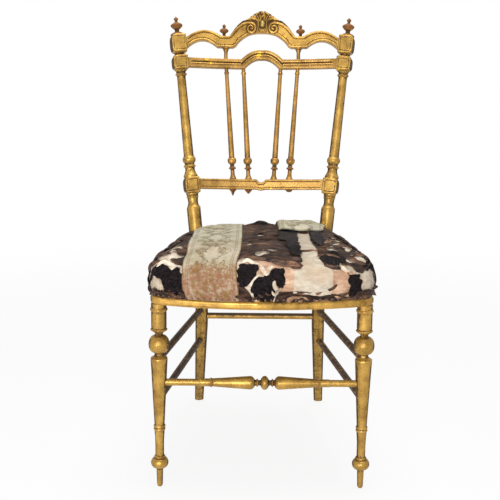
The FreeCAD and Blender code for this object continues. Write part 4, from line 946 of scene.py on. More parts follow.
drop_unit = 0.0084
for node, place, rows, length in (
        ("drop_outer_left", -outer_foot, [(0.0, 1.0), (0.08, 0.98), (0.14, 0.86), (0.45, 0.42, -0.04),
                                          (0.80, 0.22, 0.04), (1.0, 0.05)], 0.0147),
        ("drop_inner_left", -inner_foot, [(0.0, 1.0), (0.10, 0.98), (0.55, 0.60, 0.05), (1.0, 0.12)], 0.0098),
        ("drop_outer_right", outer_foot, [(0.0, 1.0), (0.35, 0.92), (0.8, 0.62), (1.0, 0.50)], 0.0050)):
    foot = back_place(place, lower_low, lower_middle)
    head = back_place(place, lower_low - length, lower_middle)
    drop = mesh_piece(node + "_turned", [turned_grid(foot, head, rows, drop_unit, slender_steps)], worn_gilt)
    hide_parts(node)

# Front stretcher: one gilt turning with its ends in the front legs.
# It has a ball between two collars in the middle, and a long tapering baluster on each side.

stretcher_half, stretcher_turned = 0.190, 0.125
stretcher_height, stretcher_shift, stretcher_unit, stretcher_end_share = 0.215, 0.007, 0.0134, 0.50
half_rows = [(0.0, 1.0), (0.018, 0.98), (0.040, 0.84), (0.060, 0.52), (0.063, 0.40), (0.098, 0.38),
             (0.102, 0.44), (0.130, 0.44, 0.17), (0.134, 0.42), (0.152, 0.42), (0.156, 0.52), (0.165, 0.70),
             (0.205, 0.96, 0.02), (0.225, 0.965), (0.800, 0.58), (0.806, 0.60), (0.836, 0.60, 0.10),
             (0.842, 0.56), (0.990, 0.56), (1.0, 0.50)]


def along_stretcher(rows, low, high):
    """Half rows doubled about the middle and carried out to two plain ends, as shares of the whole."""
    middle = (low + high) / 2.0 + stretcher_shift
    out = [(-row[0], row[1]) for row in reversed(rows)]
    swells = [0.0] + [row[2] if len(row) > 2 else 0.0 for row in reversed(rows)][:-1]
    whole = [(share, wide, swell) for (share, wide), swell in zip(out, swells)] + list(rows[1:])
    span = high - low
    placed = [((middle + row[0] * stretcher_turned - low) / span,) + tuple(row[1:]) for row in whole]
    return [(0.0, stretcher_end_share)] + placed + [(1.0, stretcher_end_share)]


stretcher_end = np.array([stretcher_half, front_line, stretcher_height])
stretcher = mesh_piece("front_stretcher_turned", [turned_grid(
    mirrored(stretcher_end, -1), stretcher_end, along_stretcher(half_rows, -stretcher_half, stretcher_half),
    stretcher_unit)], turned_gilt)
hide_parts("front_stretcher")

# Side and back stretchers: plain round rods with their ends in the legs, as the solids have them.
# Those at the sides are bare dark wood with scraps of gilt; the one at the back is gilt below and dark
# brown above, partly bare wood and partly painted shadow of the seat.

bare_wood, tree = new_finish("bare_dark_wood")
grain = noise(tree, 260.0, 5.0, 0.6, stretch=(1.0, 0.08, 1.0))
blotch = noise(tree, 45.0, 3.0)
scrap = (noise(tree, 120.0, 4.0, 0.7) - 0.54).step(0.0, 0.05)
brown = mixed(grain, tone(0.14, 0.09, 0.05), tone(0.34, 0.23, 0.12))
brown = mixed(blotch.step(0.45, 0.75) * 0.6, brown, tone(0.13, 0.08, 0.05))
close_finish(tree, mixed(scrap * 0.8, brown, tone(0.66, 0.48, 0.20)), blotch * 0.2 + 0.5, None,
             grain * 0.8 + scrap * 0.3, 0.0004, Specular_IOR_Level=0.3)
gilt_bare_and_shaded_on_top, tree = new_finish("gilt_bare_and_shaded_on_top")
out = use_group(tree, old_gilding, {"Rub": 0.25, "Dirt": 0.5, "Gold": tone(0.80, 0.62, 0.29)})
facing = add(tree, "ShaderNodeNewGeometry", output=1).parts()[2]
# Upward faces turn dark brown: partly bare wood and dust, partly painted shadow of the seat.
bare_and_shaded = (facing + (noise(tree, 90.0, 4.0) - 0.5) * 0.8).step(0.05, 0.45)
close_finish(tree, mixed(bare_and_shaded * 0.85, out["Color"], tone(0.17, 0.11, 0.07)), bare_and_shaded * 0.2 + out["Roughness"],
             out["Metal"] * (bare_and_shaded * -0.8 + 1.0), out["Height"], 0.0003)


def repaint(node, finish):
    """Give a solid that keeps its own shape the finish in place of its plain one."""
    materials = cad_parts[node].data.materials
    materials.clear()
    materials.append(finish)


for level in ("upper", "lower"):
    for name in ("left", "right"):
        repaint(level + "_side_stretcher_" + name, bare_wood)
repaint("back_stretcher", gilt_bare_and_shaded_on_top)

# Seat rails: four gilt bars under the hem of the seat, the front one bowed, with a rounded nosing.
# They are tenoned into the rear posts and one another, and keep the shape of their solids.

for name in ("front", "left", "right", "back"):
    repaint("seat_rail_" + name, carved_gilt)

# Webbing: three jute straps each way, woven over and under one another.
# They are stretched over the top of the frame and tacked to it.

strap_level, strap_width, strap_wave, strap_thickness = 0.4133, 0.050, 0.0008, 0.0008
strap_places, strap_front, strap_rear = (-0.0849, 0.0, 0.0849), -0.2500, 0.1390
cross_places, cross_halves = (-0.1301, -0.0401, 0.0499), (0.1855, 0.1721, 0.1587)


def thread_height(tree, across, along, pitch):
    """A plain weave: ridges of two crossing sets of threads, each over the other in turn."""
    first = (across * (2.0 * math.pi / pitch)).math("SINE")
    second = (along * (2.0 * math.pi / pitch)).math("SINE")
    return first.size().most(second.size()) * 0.6 + first * second * 0.4


def jute_finish(name, pitch, light, dark):
    """Plain-woven jute: painted light on the ridges of the threads and painted shade between them, with
    slubs.
    """
    material, tree = new_finish(name)
    place = add(tree, "ShaderNodeTexCoord", output=3)
    across, along, _ = place.parts()
    weave = thread_height(tree, across, along, pitch)
    slub = noise(tree, 500.0, 3.0, 0.6)
    close_finish(tree, mixed(weave * 0.6 + slub * 0.4, dark, light), slub * 0.1 + 0.85, None,
                 weave * 0.7 + slub * 0.5, pitch * 0.3)
    return material


webbing_jute = jute_finish("webbing_jute", 0.0022, tone(0.66, 0.55, 0.38), tone(0.36, 0.27, 0.17))
hessian_jute = jute_finish("hessian_jute", 0.0016, tone(0.60, 0.49, 0.33), tone(0.28, 0.21, 0.13))


def strip_grid(start, end, half_width, wave, count=90):
    """A flat strip from start to end whose height follows wave(share of its length)."""
    start, end = np.array(start), np.array(end)
    way = (end - start) / np.linalg.norm(end - start)
    across = np.cross([0.0, 0.0, 1.0], way)
    share = np.linspace(0.0, 1.0, count)
    middle = start + (end - start) * share[:, None]
    middle[:, 2] += wave(share)
    sides = np.linspace(-half_width, half_width, 9)
    return middle[:, None] + across * sides[None, :, None], 0.0, False


def thickened(piece, thickness, offset=0.0):
    """Give a cloth its thickness, half on each side, or all below it for an offset of -1."""
    solidify = piece.modifiers.new("Thickness", "SOLIDIFY")
    solidify.thickness = thickness
    solidify.offset = offset
    return piece


for number, place in enumerate(strap_places):
    low, high = strap_front, strap_rear
    strap = mesh_piece("webbing_strap_" + str(number + 1), [strip_grid(
        (place, low, strap_level), (place, high, strap_level), strap_width / 2,
        lambda share: strap_wave * np.sin(share * 6.0 * math.pi + number * math.pi))], webbing_jute)
    thickened(strap, strap_thickness)
    high - low
    if number == 0:
        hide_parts("webbing")
for number, (place, half) in enumerate(zip(cross_places, cross_halves)):
    strap = mesh_piece("webbing_strap_" + str(number + 4), [strip_grid(
        (-half, place, strap_level), (half, place, strap_level), strap_width / 2,
        lambda share: -strap_wave * np.cos(share * 4.0 * math.pi + number * math.pi))], webbing_jute)
    thickened(strap, strap_thickness)
    2.0 * half

# Hessian: one open jute cloth that carries the stuffing.
# It is stretched over the webbing and tacked to the frame.

hessian_level = 0.4150
hessian_half_front, hessian_half_back = 0.196, 0.150
hessian_front, hessian_front_bow, hessian_rear = 0.045, 0.030, 0.120
hessian_count, hessian_sag = 41, 0.0006
share = np.linspace(0.0, 1.0, hessian_count)
across = np.linspace(-1.0, 1.0, hessian_count)
front_edge = front_line - hessian_front + hessian_front_bow * across ** 2
half = hessian_half_front + (hessian_half_back - hessian_half_front) * share
points = np.zeros((hessian_count, hessian_count, 3))
points[..., 0] = half[:, None] * across
points[..., 1] = front_edge + (hessian_rear - front_edge) * share[:, None]
points[..., 2] = hessian_level - hessian_sag * np.cos(points[..., 0] * 74.0) * np.cos(points[..., 1] * 70.0)
hessian = mesh_piece("hessian_cloth", [(points, 0.0, False)], hessian_jute)
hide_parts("hessian")

# Stuffed seat: a crowned pad of hair under grey-white muslin, drawn down over the frame's edge and
# tacked there. Its surface is a stack of plans, each drawn in about the middle, with room for the posts.
# As cloth held at the hem it is then blown up a little, so that it bulges as a filled cover does.

pad_low, pad_rise = 0.3896, 0.0885
pad_middle = np.array([0.0, -0.0601])
pad_columns, pad_rows = 360, 121
pad_half_plan = [(0.0, -0.2776), (0.070, -0.2746), (0.140, -0.2641), (0.1905, -0.2501), (0.2065, -0.2381),
                 (0.2150, -0.2131), (0.2115, -0.1871), (0.1905, -0.0321), (0.1740, 0.0899), (0.166, 0.1249),
                 (0.1450, 0.1519), (0.125, 0.1564), (0.0700, 0.1579), (0.0, 0.1579)]
pad_meridian = [(0.0, 0.965), (0.10, 0.985), (0.30, 1.000), (0.52, 1.000), (0.68, 0.985), (0.80, 0.950),
                (0.885, 0.875), (0.945, 0.74), (0.975, 0.55), (0.993, 0.32), (1.0, 0.0)]
post_room = 0.0163
rear_start, rear_run, rear_sunk_share = -0.0201, 0.16, 0.045
corner_start, corner_run, corner_sunk_share = 0.095, 0.07, 0.26
slack_start, slack_run, slack_sunk_share = -0.12, 0.22, 0.125
lump_height, felt_rise, felt_rise_place = 0.0011, 0.0085, 0.112
felt_rise_half_width, felt_rise_half_length = 0.019, 0.022
tuck_share, tuck_level = 0.955, 0.4160
pad_slimmer, pad_cap, blowing_frames, blowing_pressure = 0.0030, 0.0055, 20, 4.0
blown_row_step, blown_column_step, held_rows = 3, 4, 24.0


def softened(points, times):
    """Each point moved half way to the mean of its two neighbours, again and again, on a closed line."""
    for _ in range(times):
        points = (np.roll(points, 1, 0) + 2.0 * points + np.roll(points, -1, 0)) / 4.0
    return points


def pad_reach():
    """How far the plan stands from the middle in each direction."""
    half = np.array(pad_half_plan)
    loop = np.concatenate([half, half[-2:0:-1] * (-1, 1), half[:1]])
    run = np.concatenate([[0.0], np.cumsum(np.hypot(*np.diff(loop, axis=0).T))])
    even = np.linspace(0.0, run[-1], 720, endpoint=False)
    plan = softened(np.stack([np.interp(even, run, loop[:, i]) for i in (0, 1)], 1), 60) - pad_middle
    angle = np.arctan2(plan[:, 1], plan[:, 0])
    order = np.argsort(angle)
    want = np.linspace(-math.pi, math.pi, pad_columns, endpoint=False)
    return want, np.interp(want, angle[order], np.hypot(*plan.T)[order], period=2.0 * math.pi)


def clear_of_posts(points):
    """Points behind a post, seen from the middle, are brought back to the near side of the post."""
    for side in (-1, 1):
        axis = post_axis(side)
        centre = mirrored(post_base, side)[:2] + (axis[:2] / axis[2]) * (points[..., 2:] - post_base[2])
        ray = points[..., :2] - pad_middle
        far = np.hypot(ray[..., 0], ray[..., 1]) + 1e-9
        ray = ray / far[..., None]
        to_post = centre - pad_middle
        along = (to_post * ray).sum(-1)
        aside = to_post[..., 0] * ray[..., 1] - to_post[..., 1] * ray[..., 0]
        chord = np.sqrt(np.maximum(post_room ** 2 - aside ** 2, 0.0))
        hidden = (np.abs(aside) < post_room) & (far > along - chord) & (along > 0)
        reach = np.where(hidden, along - chord, far)
        points[..., :2] = pad_middle + ray * reach[..., None]
    return points


def pad_surface():
    """Rows of points from the hem to the middle: the plan's reach times the meridian's share, and the
    height of that row less what the pad has sunk at the rear, with low lumps and a rise under the felt.
    """
    angle, reach = pad_reach()
    rows = np.array(pad_meridian)
    run = np.concatenate([[0.0], np.cumsum(np.hypot(np.diff(rows[:, 0]) * pad_rise,
                                                    np.diff(rows[:, 1]) * 0.21))])
    even = np.linspace(0.0, run[-1], pad_rows)
    up, out = (eased(np.interp(even, run, column), 14) for column in rows.T)
    spoke = np.stack([np.cos(angle), np.sin(angle)], 1) * reach[:, None]
    flat = pad_middle + spoke[None] * out[:, None, None]
    x, y = flat[..., 0], flat[..., 1]
    rear = bounded((y - rear_start) / rear_run)
    side = bounded((np.abs(x) - corner_start) / corner_run)
    slack = bounded((y - slack_start) / slack_run) ** 1.2 * (1.0 - 0.6 * side)
    sunk = rear_sunk_share * rear + corner_sunk_share * rear ** 1.5 * side ** 1.3 + slack_sunk_share * slack
    lumps = np.sin(x * 61.0 + 1.0) * np.sin(y * 53.0 + 0.4)
    lumps = lumps + 0.6 * np.sin(x * 118.0) * np.sin(y * 97.0 + 2.0)
    height = pad_low + pad_rise * up[:, None] * (1.0 - sunk * up[:, None] ** 0.5) \
        + lump_height * lumps * bounded(up[:, None] * 2.0) \
        + felt_rise * np.exp(-(x / felt_rise_half_width) ** 2
                             - ((y - felt_rise_place) / felt_rise_half_length) ** 2)
    return clear_of_posts(np.dstack([x, y, height])), angle


def outward(surface):
    """The way out of the pad at each point, from rows that run from the hem to the middle."""
    way = np.cross(np.roll(surface, -1, 1) - np.roll(surface, 1, 1), np.gradient(surface, axis=0))
    way[-4:] = (0.0, 0.0, 1.0)
    return way / np.maximum(np.linalg.norm(way, axis=2), 1e-9)[..., None]


def rows_between(values, places):
    """Rows read at places that lie between whole row numbers, each a share of the way to the next."""
    low = np.minimum(places.astype(int), len(values) - 2)
    share = (places - low)[:, None, None]
    return (values[low + 1] - values[low]) * share + values[low]


def blown_up(surface):
    """The pad as cloth with its hem held, blown up from a slimmer start; no point moves past a cap."""
    held = bounded(np.arange(pad_rows) / held_rows)[:, None, None]
    start = (surface - outward(surface) * pad_slimmer * held)[:-1:blown_row_step, ::blown_column_step]
    rows, columns = start.shape[:2]
    index = np.arange(rows * columns).reshape(rows, columns)
    after = np.roll(index, -1, 1)
    quads = np.stack([index[:-1], after[:-1], after[1:], index[1:]], -1).reshape(-1, 4).tolist()
    fan = [(int(a), int(b), rows * columns) for a, b in zip(index[-1], after[-1])]
    points = np.concatenate([start.reshape(-1, 3), [surface[-1].mean(0) - (0.0, 0.0, pad_slimmer)]])
    mesh = bpy.data.meshes.new("blown_pad")
    mesh.from_pydata(points.tolist(), [], quads + fan)
    piece = in_scene("blown_pad", mesh)
    piece.vertex_groups.new(name="hem").add(index[:3].ravel().tolist(), 1.0, "REPLACE")
    cloth = piece.modifiers.new("Cloth", "CLOTH")
    cloth.settings.use_pressure = True
    cloth.settings.uniform_pressure_force = blowing_pressure
    cloth.settings.vertex_group_mass = "hem"
    cloth.settings.effector_weights.gravity = 0.0
    cloth.point_cache.frame_start, cloth.point_cache.frame_end = 1, blowing_frames
    for number in range(1, blowing_frames + 1):
        bpy.context.scene.frame_set(number)
    moved = np.zeros(points.size, np.float32)
    piece.evaluated_get(bpy.context.evaluated_depsgraph_get()).data.vertices.foreach_get("co", moved)
    bpy.data.objects.remove(piece)
    bpy.data.meshes.remove(mesh)
    bpy.context.scene.frame_set(1)
    shift = moved.reshape(-1, 3) - points
    shift *= np.minimum(1.0, pad_cap / np.maximum(np.linalg.norm(shift, axis=1), 1e-9))[:, None]
    field = np.concatenate([shift[:-1].reshape(rows, columns, 3), np.tile(shift[-1], (1, columns, 1))])
    field = np.concatenate([field, field[:, :1]], axis=1)
    field = rows_between(field, np.arange(pad_rows) / blown_row_step)
    field = rows_between(field.swapaxes(0, 1), np.arange(pad_columns) / blown_column_step).swapaxes(0, 1)
    return clear_of_posts(surface - outward(surface) * pad_slimmer * held + field)


pad_grid, pad_angle = pad_surface()
pad_grid = blown_up(pad_grid)
pad_steps = np.linalg.norm(np.diff(pad_grid, axis=0), axis=2)[::-1]
pad_run = np.concatenate([np.zeros((1, pad_columns)), np.cumsum(pad_steps, axis=0)])
pad_from_middle = pad_grid[::-1]
pad_out = outward(pad_grid)[::-1]
pad_hem = pad_run[-1]


def hem_distance(across, along):
    """How far inside the hem a place of the cloth lies."""
    angle = np.arctan2(along, across)
    return np.interp(angle, pad_angle, pad_hem, period=2.0 * math.pi) - np.hypot(across, along)


def on_pad(across, along, lift):
    """A place of a cloth laid on the pad: its distance from the middle is kept along the surface."""
    angle, far = np.arctan2(along, across), np.hypot(across, along)
    column = (angle + math.pi) / (2.0 * math.pi) * pad_columns
    left = np.floor(column).astype(int) % pad_columns
    share = (column - np.floor(column))[..., None]
    place, outwards = 0.0, 0.0
    for index, weight in ((left, 1.0 - share), ((left + 1) % pad_columns, share)):
        run = pad_run[:, index.ravel()].T
        row = np.array([np.searchsorted(r, f) for r, f in zip(run, far.ravel())]).clip(1, pad_rows - 1)
        row = row.reshape(far.shape)
        low, high = pad_run[row - 1, index], pad_run[row, index]
        t = np.clip((far - low) / np.maximum(high - low, 1e-9), 0.0, 1.6)[..., None]
        place = place + weight * (pad_from_middle[row - 1, index] * (1 - t) + pad_from_middle[row, index] * t)
        outwards = outwards + weight * (pad_out[row - 1, index] * (1 - t) + pad_out[row, index] * t)
    outwards /= np.maximum(np.linalg.norm(outwards, axis=-1), 1e-9)[..., None]
    return place + outwards * np.asarray(lift)[..., None]


def cloth_weave(tree, pitch):
    """The cloth attribute, in metres across and along, and the height of a plain weave on it."""
    place = add(tree, "ShaderNodeAttribute", {"attribute_name": "cloth"}, None, 1)
    across, along, edge = place.parts()
    return place, edge, thread_height(tree, across, along, pitch)


def frayed(tree, place, edge, depth, stretch=(1.0, 1.0, 0.0)):
    """Where a torn cloth still covers: its distance from the edge, broken up by loose threads."""
    flat = add(tree, "ShaderNodeMapping", None, {"Vector": place, "Scale": stretch})
    fray = add(tree, "ShaderNodeTexNoise", None, {"Vector": flat, "Scale": 130.0, "Detail": 5.0,
                                                  "Roughness": 0.75})
    return (edge + (fray - 0.5) * depth).step(-0.0001, 0.0002)


def cloth_finish(name, light, dark, stain, pitch=0.0008, rough=0.85, depth=0.0, stained=0.5,
                 stretch=(1.0, 1.0, 0.0), bump=0.00025, creased=(0.3, 1.0, 1.0), **plain):
    """A plain woven cloth with a stain, its two tones painted light on the crease ridges and painted shade in
    the creases and between the threads; depth frays its edge, creased stretches its creases.
    """
    material, tree = new_finish(name)
    place, edge, weave = cloth_weave(tree, pitch)
    cloud = noise(tree, 26.0, 5.0, 0.6)
    crease = noise(tree, 150.0, 5.0, 0.65, stretch=creased)
    # Painted light and shade: the light tone on the ridges of the creases, the dark one in them and between
    # the threads.
    colour = mixed(crease.step(0.36, 0.62), dark, light)
    colour = mixed((cloud - 0.5 + stained * 0.3).step(0.0, 0.3) * stained, colour, stain)
    colour = mixed(weave * 0.25, colour, dark)
    close_finish(tree, colour, crease * 0.15 + (rough - 0.07), None, weave * 0.5 + crease * 0.9, bump,
                 frayed(tree, place, edge, depth, stretch) if depth else None, **plain)
    return material


def cloth_grid(across, along, lift, edge):
    """Points of a cloth on the pad, and its attribute: place across and along, and edge distance."""
    return on_pad(across, along, lift), np.dstack([across, along, edge])


muslin = cloth_finish("muslin", tone(0.90, 0.86, 0.79), tone(0.76, 0.68, 0.58), tone(0.62, 0.50, 0.40))
under_rows = []
inward = pad_middle + (pad_grid[0, :, :2] - pad_middle) * tuck_share
for level, share in ((pad_low, 1.0), (tuck_level, 1.0), (tuck_level, 0.5), (tuck_level, 0.0)):
    row = np.zeros((1, pad_columns, 3))
    row[0, :, :2] = pad_middle + (inward - pad_middle) * share
    row[0, :, 2] = level
    under_rows.insert(0, row)
whole = np.concatenate(under_rows + [pad_grid])
cloth = np.zeros_like(whole)
cloth[..., :2] = whole[..., :2] - pad_middle
cloth[..., 2] = 1.0
seat = mesh_piece("stuffed_seat", [(whole, 0.0, True)], muslin, cloth)
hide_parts("seat_pad")

# Old cover: brown silk stretched over the pad and nailed round the hem, worn to horizontal splits that
# show the muslin, and torn away in front. Each split is a place across and along from the middle of
# the seat, its length and its width.

silk_spacing, silk_half, hem_margin = 0.0026, 0.312, 0.001
split_seed, split_count = 11, 60
silk_lift, silk_looseness, rumple_height, fold_height, curl_height = 0.0014, 0.0010, 0.0013, 0.0013, 0.0012
torn_limit = -0.003
band_middle = [(-0.121, -0.268), (-0.0975, -0.200), (-0.0905, -0.160), (-0.0895, 0.110), (-0.073, 0.262)]


def outline_distance(across, along, corners):
    """Signed distance to a closed outline, above 0 inside it: a line across from a place inside crosses
    the outline an odd number of times.
    """
    closed = np.concatenate([corners, corners[:1]])
    inside = np.zeros(across.shape, bool)
    for (ax, ay), (bx, by) in zip(closed[:-1], closed[1:]):
        crosses = (ay > along) != (by > along)
        where = ax + (along - ay) / ((by - ay) or 1e-12) * (bx - ax)
        inside ^= crosses & (across < where)
    nearest = near_line(across, along, closed)
    return np.where(inside, nearest, -nearest)


bare_places = [
    [(-0.232, -0.172), (-0.205, -0.166), (-0.172, -0.182), (-0.150, -0.196), (-0.052, -0.196),
     (-0.030, -0.188), (0.020, -0.196), (0.062, -0.203), (0.076, -0.186), (0.106, -0.182),
     (0.114, -0.196), (0.190, -0.196), (0.214, -0.152), (0.262, -0.176), (0.262, -0.194),
     (0.200, -0.236), (0.060, -0.250), (0.030, -0.252), (0.028, -0.282), (-0.012, -0.282),
     (-0.026, -0.258), (-0.040, -0.240), (-0.060, -0.238), (-0.190, -0.232), (-0.250, -0.200)],
    [(0.070, 0.020), (0.097, 0.020), (0.093, -0.094), (0.102, -0.160), (0.104, -0.190),
     (0.072, -0.190), (0.068, -0.150)],
]
split_places = [
    (-0.175, -0.167, 0.0270, 0.0125), (-0.196, -0.183, 0.0250, 0.0070), (-0.165, -0.138, 0.0190, 0.0090),
    (-0.168, -0.103, 0.0150, 0.0090), (-0.205, -0.132, 0.0200, 0.0060), (-0.152, -0.095, 0.0095, 0.0050),
    (-0.005, -0.057, 0.0110, 0.0110), (-0.025, -0.130, 0.0060, 0.0080), (-0.003, -0.176, 0.0140, 0.0065),
    (0.014, -0.162, 0.0160, 0.0040), (-0.007, -0.197, 0.0210, 0.0040), (0.005, -0.093, 0.0130, 0.0055),
    (0.135, -0.098, 0.0210, 0.0140), (0.159, -0.058, 0.0190, 0.0160), (0.171, -0.119, 0.0210, 0.0230),
    (0.182, -0.164, 0.0160, 0.0130), (0.149, -0.125, 0.0130, 0.0090), (0.161, -0.178, 0.0180, 0.0050),
    (0.153, -0.195, 0.0200, 0.0040), (0.136, -0.151, 0.0150, 0.0070), (0.128, -0.128, 0.0120, 0.0040),
    (0.150, -0.030, 0.0150, 0.0110), (0.128, -0.070, 0.0120, 0.0080), (-0.168, -0.060, 0.0130, 0.0100),
]
spots = np.random.default_rng(split_seed)
split_places += np.stack([spots.uniform(low, high, split_count) for low, high in (
    (-0.24, 0.25), (-0.19, 0.20), (0.008, 0.026), (0.0010, 0.0040))], 1).tolist()
side = np.arange(-silk_half, silk_half + 0.0001, silk_spacing)
across, along = np.meshgrid(side, side)
edge = hem_distance(across, along) - hem_margin
for corners in bare_places:
    edge = np.minimum(edge, -outline_distance(across, along, corners))
for place, level, length, width in split_places:
    sideways = across - place + 0.30 * length * np.sin((along - level) * 330.0 + place * 900.0)
    upwards = along - level + 0.35 * width * np.sin((across - place) * 270.0 + level * 700.0)
    lens_shape = 1.0 - (sideways / length) ** 2 - (upwards / width) ** 2
    edge = np.minimum(edge, -lens_shape * width * 0.6)
rumple = np.sin(along * 390.0 + 2.2 * np.sin(across * 23.0) + 1.3 * np.sin(across * 61.0 + along * 40.0))
rumple = rumple * (0.6 + 0.4 * np.sin(across * 37.0 + along * 15.0))
fold = np.sin(along * 210.0 + 3.0 * np.sin(across * 17.0 + 1.0) + 1.5 * np.sin(across * 41.0 - along * 30.0))
from_band = np.abs(across - np.interp(along, [p[1] for p in band_middle], [p[0] for p in band_middle]))
loose = bounded((from_band - 0.048) / 0.010)
curled = curl_height * np.exp(-edge.clip(0.0) / 0.004)
lift = silk_lift + loose * (silk_looseness + rumple_height * rumple + fold_height * fold + curled)
points, cloth = cloth_grid(across, along, lift, edge)
brown_silk = cloth_finish("brown_silk", tone(0.63, 0.45, 0.33), tone(0.17, 0.10, 0.08),
                          tone(0.12, 0.08, 0.07), 0.0005, 0.62, 0.0070, 0.8, (0.35, 1.6, 0.0), 0.0022,
                          Specular_IOR_Level=0.3)
silk = mesh_piece("silk_cover", [(points, 0.0, False)], brown_silk, cloth)


def cut_away(piece, limit):
    """Delete the faces that lie beyond the edge by more than the limit."""
    work = bmesh.new()
    work.from_mesh(piece.data)
    layer = work.verts.layers.float_vector["cloth"]
    gone = [face for face in work.faces if max(v[layer][2] for v in face.verts) < limit]
    bmesh.ops.delete(work, geom=gone, context="FACES")
    work.to_mesh(piece.data)
    work.free()
    return sum(polygon.area for polygon in piece.data.polygons)


area = cut_away(silk, torn_limit)

# Patches that show through the torn cover: black felt and satin, white cotton and tan linen from older
# covers, each laid on the stuffing under or over the others and caught under the nails.

felt = cloth_finish("black_felt", tone(0.22, 0.18, 0.19), tone(0.05, 0.04, 0.05), tone(0.12, 0.09, 0.09),
                    0.0011, 0.92, 0.0075, 0.5, (1.0, 1.0, 0.0), 0.0024, (1.3, 1.3, 1.3),
                    Specular_IOR_Level=0.1)
# The satin's pale streaks, stretched along the cloth, are a painted sheen on its near-black ground.
satin = cloth_finish("black_satin", tone(0.19, 0.17, 0.17), tone(0.02, 0.015, 0.015),
                     tone(0.07, 0.04, 0.04), 0.0005, 0.55, 0.0080, 0.5, (1.0, 1.0, 0.0), 0.0009,
                     (1.6, 0.22, 0.3), Specular_IOR_Level=0.1)
cotton = cloth_finish("white_cotton", tone(0.81, 0.77, 0.70), tone(0.70, 0.65, 0.57), tone(0.74, 0.62, 0.50),
                      0.0007, 0.9, 0.0035, 0.5, (1.0, 1.0, 0.0), 0.0003)
linen = cloth_finish("tan_linen", tone(0.89, 0.76, 0.64), tone(0.74, 0.58, 0.46), tone(0.58, 0.41, 0.31),
                     0.0009, 0.9, 0.0045, 0.6, (1.0, 1.0, 0.0), 0.0004)
patches = (
    ("linen_patch_left", linen, 0.0006, [
        (-0.040, -0.196), (-0.026, -0.190), (0.020, -0.198), (0.060, -0.204), (0.074, -0.212),
        (0.072, -0.262), (0.040, -0.262), (0.012, -0.236), (-0.012, -0.216), (-0.034, -0.210)]),
    ("linen_patch_right", linen, 0.0006, [
        (0.122, -0.196), (0.150, -0.192), (0.190, -0.205), (0.204, -0.236), (0.150, -0.252),
        (0.128, -0.250)]),
    ("cotton_strip", cotton, 0.0012, [
        (0.071, 0.040), (0.098, 0.040), (0.091, -0.094), (0.100, -0.160), (0.103, -0.190),
        (0.071, -0.192), (0.068, -0.162), (0.067, -0.108)]),
    ("cotton_patch", cotton, 0.0017, [
        (0.068, -0.188), (0.105, -0.182), (0.114, -0.194), (0.130, -0.200), (0.150, -0.243),
        (0.120, -0.250), (0.066, -0.252), (0.057, -0.214), (0.071, -0.210)]),
    ("cotton_corner", cotton, 0.0012, [
        (0.177, -0.197), (0.203, -0.183), (0.231, -0.164), (0.250, -0.180), (0.256, -0.193),
        (0.225, -0.214), (0.188, -0.204)]),
    ("cotton_scrap_left", cotton, 0.0006, [
        (-0.232, -0.168), (-0.200, -0.176), (-0.196, -0.205), (-0.215, -0.222), (-0.245, -0.220),
        (-0.259, -0.200), (-0.246, -0.182)]),
    ("felt_lump", felt, 0.0034, [
        (-0.022, 0.150), (-0.012, 0.186), (0.012, 0.190), (0.026, 0.160), (0.016, 0.124),
        (0.002, 0.100), (-0.010, 0.126)]),
    ("felt_left", felt, 0.0020, [
        (-0.226, -0.178), (-0.209, -0.174), (-0.189, -0.180), (-0.168, -0.196), (-0.152, -0.197),
        (-0.156, -0.212), (-0.164, -0.236), (-0.180, -0.244), (-0.199, -0.240), (-0.218, -0.231),
        (-0.204, -0.212), (-0.207, -0.198), (-0.216, -0.192), (-0.240, -0.184)]),
    ("felt_middle_left", felt, 0.0018, [
        (-0.046, -0.214), (-0.041, -0.206), (-0.024, -0.202), (-0.006, -0.204), (-0.008, -0.216),
        (-0.020, -0.234), (-0.031, -0.246), (-0.048, -0.244), (-0.050, -0.230)]),
    ("felt_middle", felt, 0.0023, [
        (-0.022, -0.240), (-0.013, -0.228), (0.004, -0.224), (0.020, -0.229), (0.027, -0.249),
        (0.025, -0.279), (0.013, -0.281), (-0.010, -0.271), (-0.023, -0.254)]),
    ("felt_middle_right", felt, 0.0018, [
        (0.008, -0.219), (0.022, -0.210), (0.037, -0.211), (0.044, -0.223), (0.047, -0.240),
        (0.034, -0.246), (0.020, -0.233), (0.011, -0.226)]),
    ("felt_right", felt, 0.0020, [
        (0.163, -0.203), (0.187, -0.199), (0.206, -0.212), (0.219, -0.225), (0.213, -0.236),
        (0.194, -0.238)]),
    ("felt_right_top", felt, 0.0020, [
        (0.187, -0.180), (0.214, -0.146), (0.226, -0.158), (0.229, -0.168), (0.194, -0.187)]),
    ("silk_torn_right", brown_silk, 0.0030, [
        (0.196, -0.238), (0.206, -0.222), (0.214, -0.216), (0.226, -0.206), (0.240, -0.200),
        (0.256, -0.186), (0.268, -0.196), (0.230, -0.236)]),
    ("silk_torn_left", brown_silk, 0.0030, [
        (-0.258, -0.206), (-0.222, -0.226), (-0.206, -0.220), (-0.192, -0.228), (-0.188, -0.262),
        (-0.215, -0.262), (-0.270, -0.222)]),
    ("satin_rear_left", satin, 0.0058, [
        (0.036, 0.010), (0.071, 0.006), (0.068, -0.120), (0.072, -0.166), (0.070, -0.180),
        (0.050, -0.178), (0.042, -0.112), (0.030, -0.104)]),
    ("satin_rear_right", satin, 0.0058, [
        (0.097, 0.010), (0.115, 0.000), (0.118, -0.100), (0.110, -0.150), (0.101, -0.132),
        (0.094, -0.096)]),
    ("satin_middle_right", satin, 0.0058, [
        (0.107, -0.179), (0.130, -0.160), (0.152, -0.178), (0.154, -0.187), (0.131, -0.196),
        (0.111, -0.194)]),
)
patch_spacing, patch_margin, least_side = 0.0022, 0.004, 0.012
thin_tear, thick_tear, patch_ripple, patch_curl = 0.0005, 0.0013, 0.0004, 0.0008
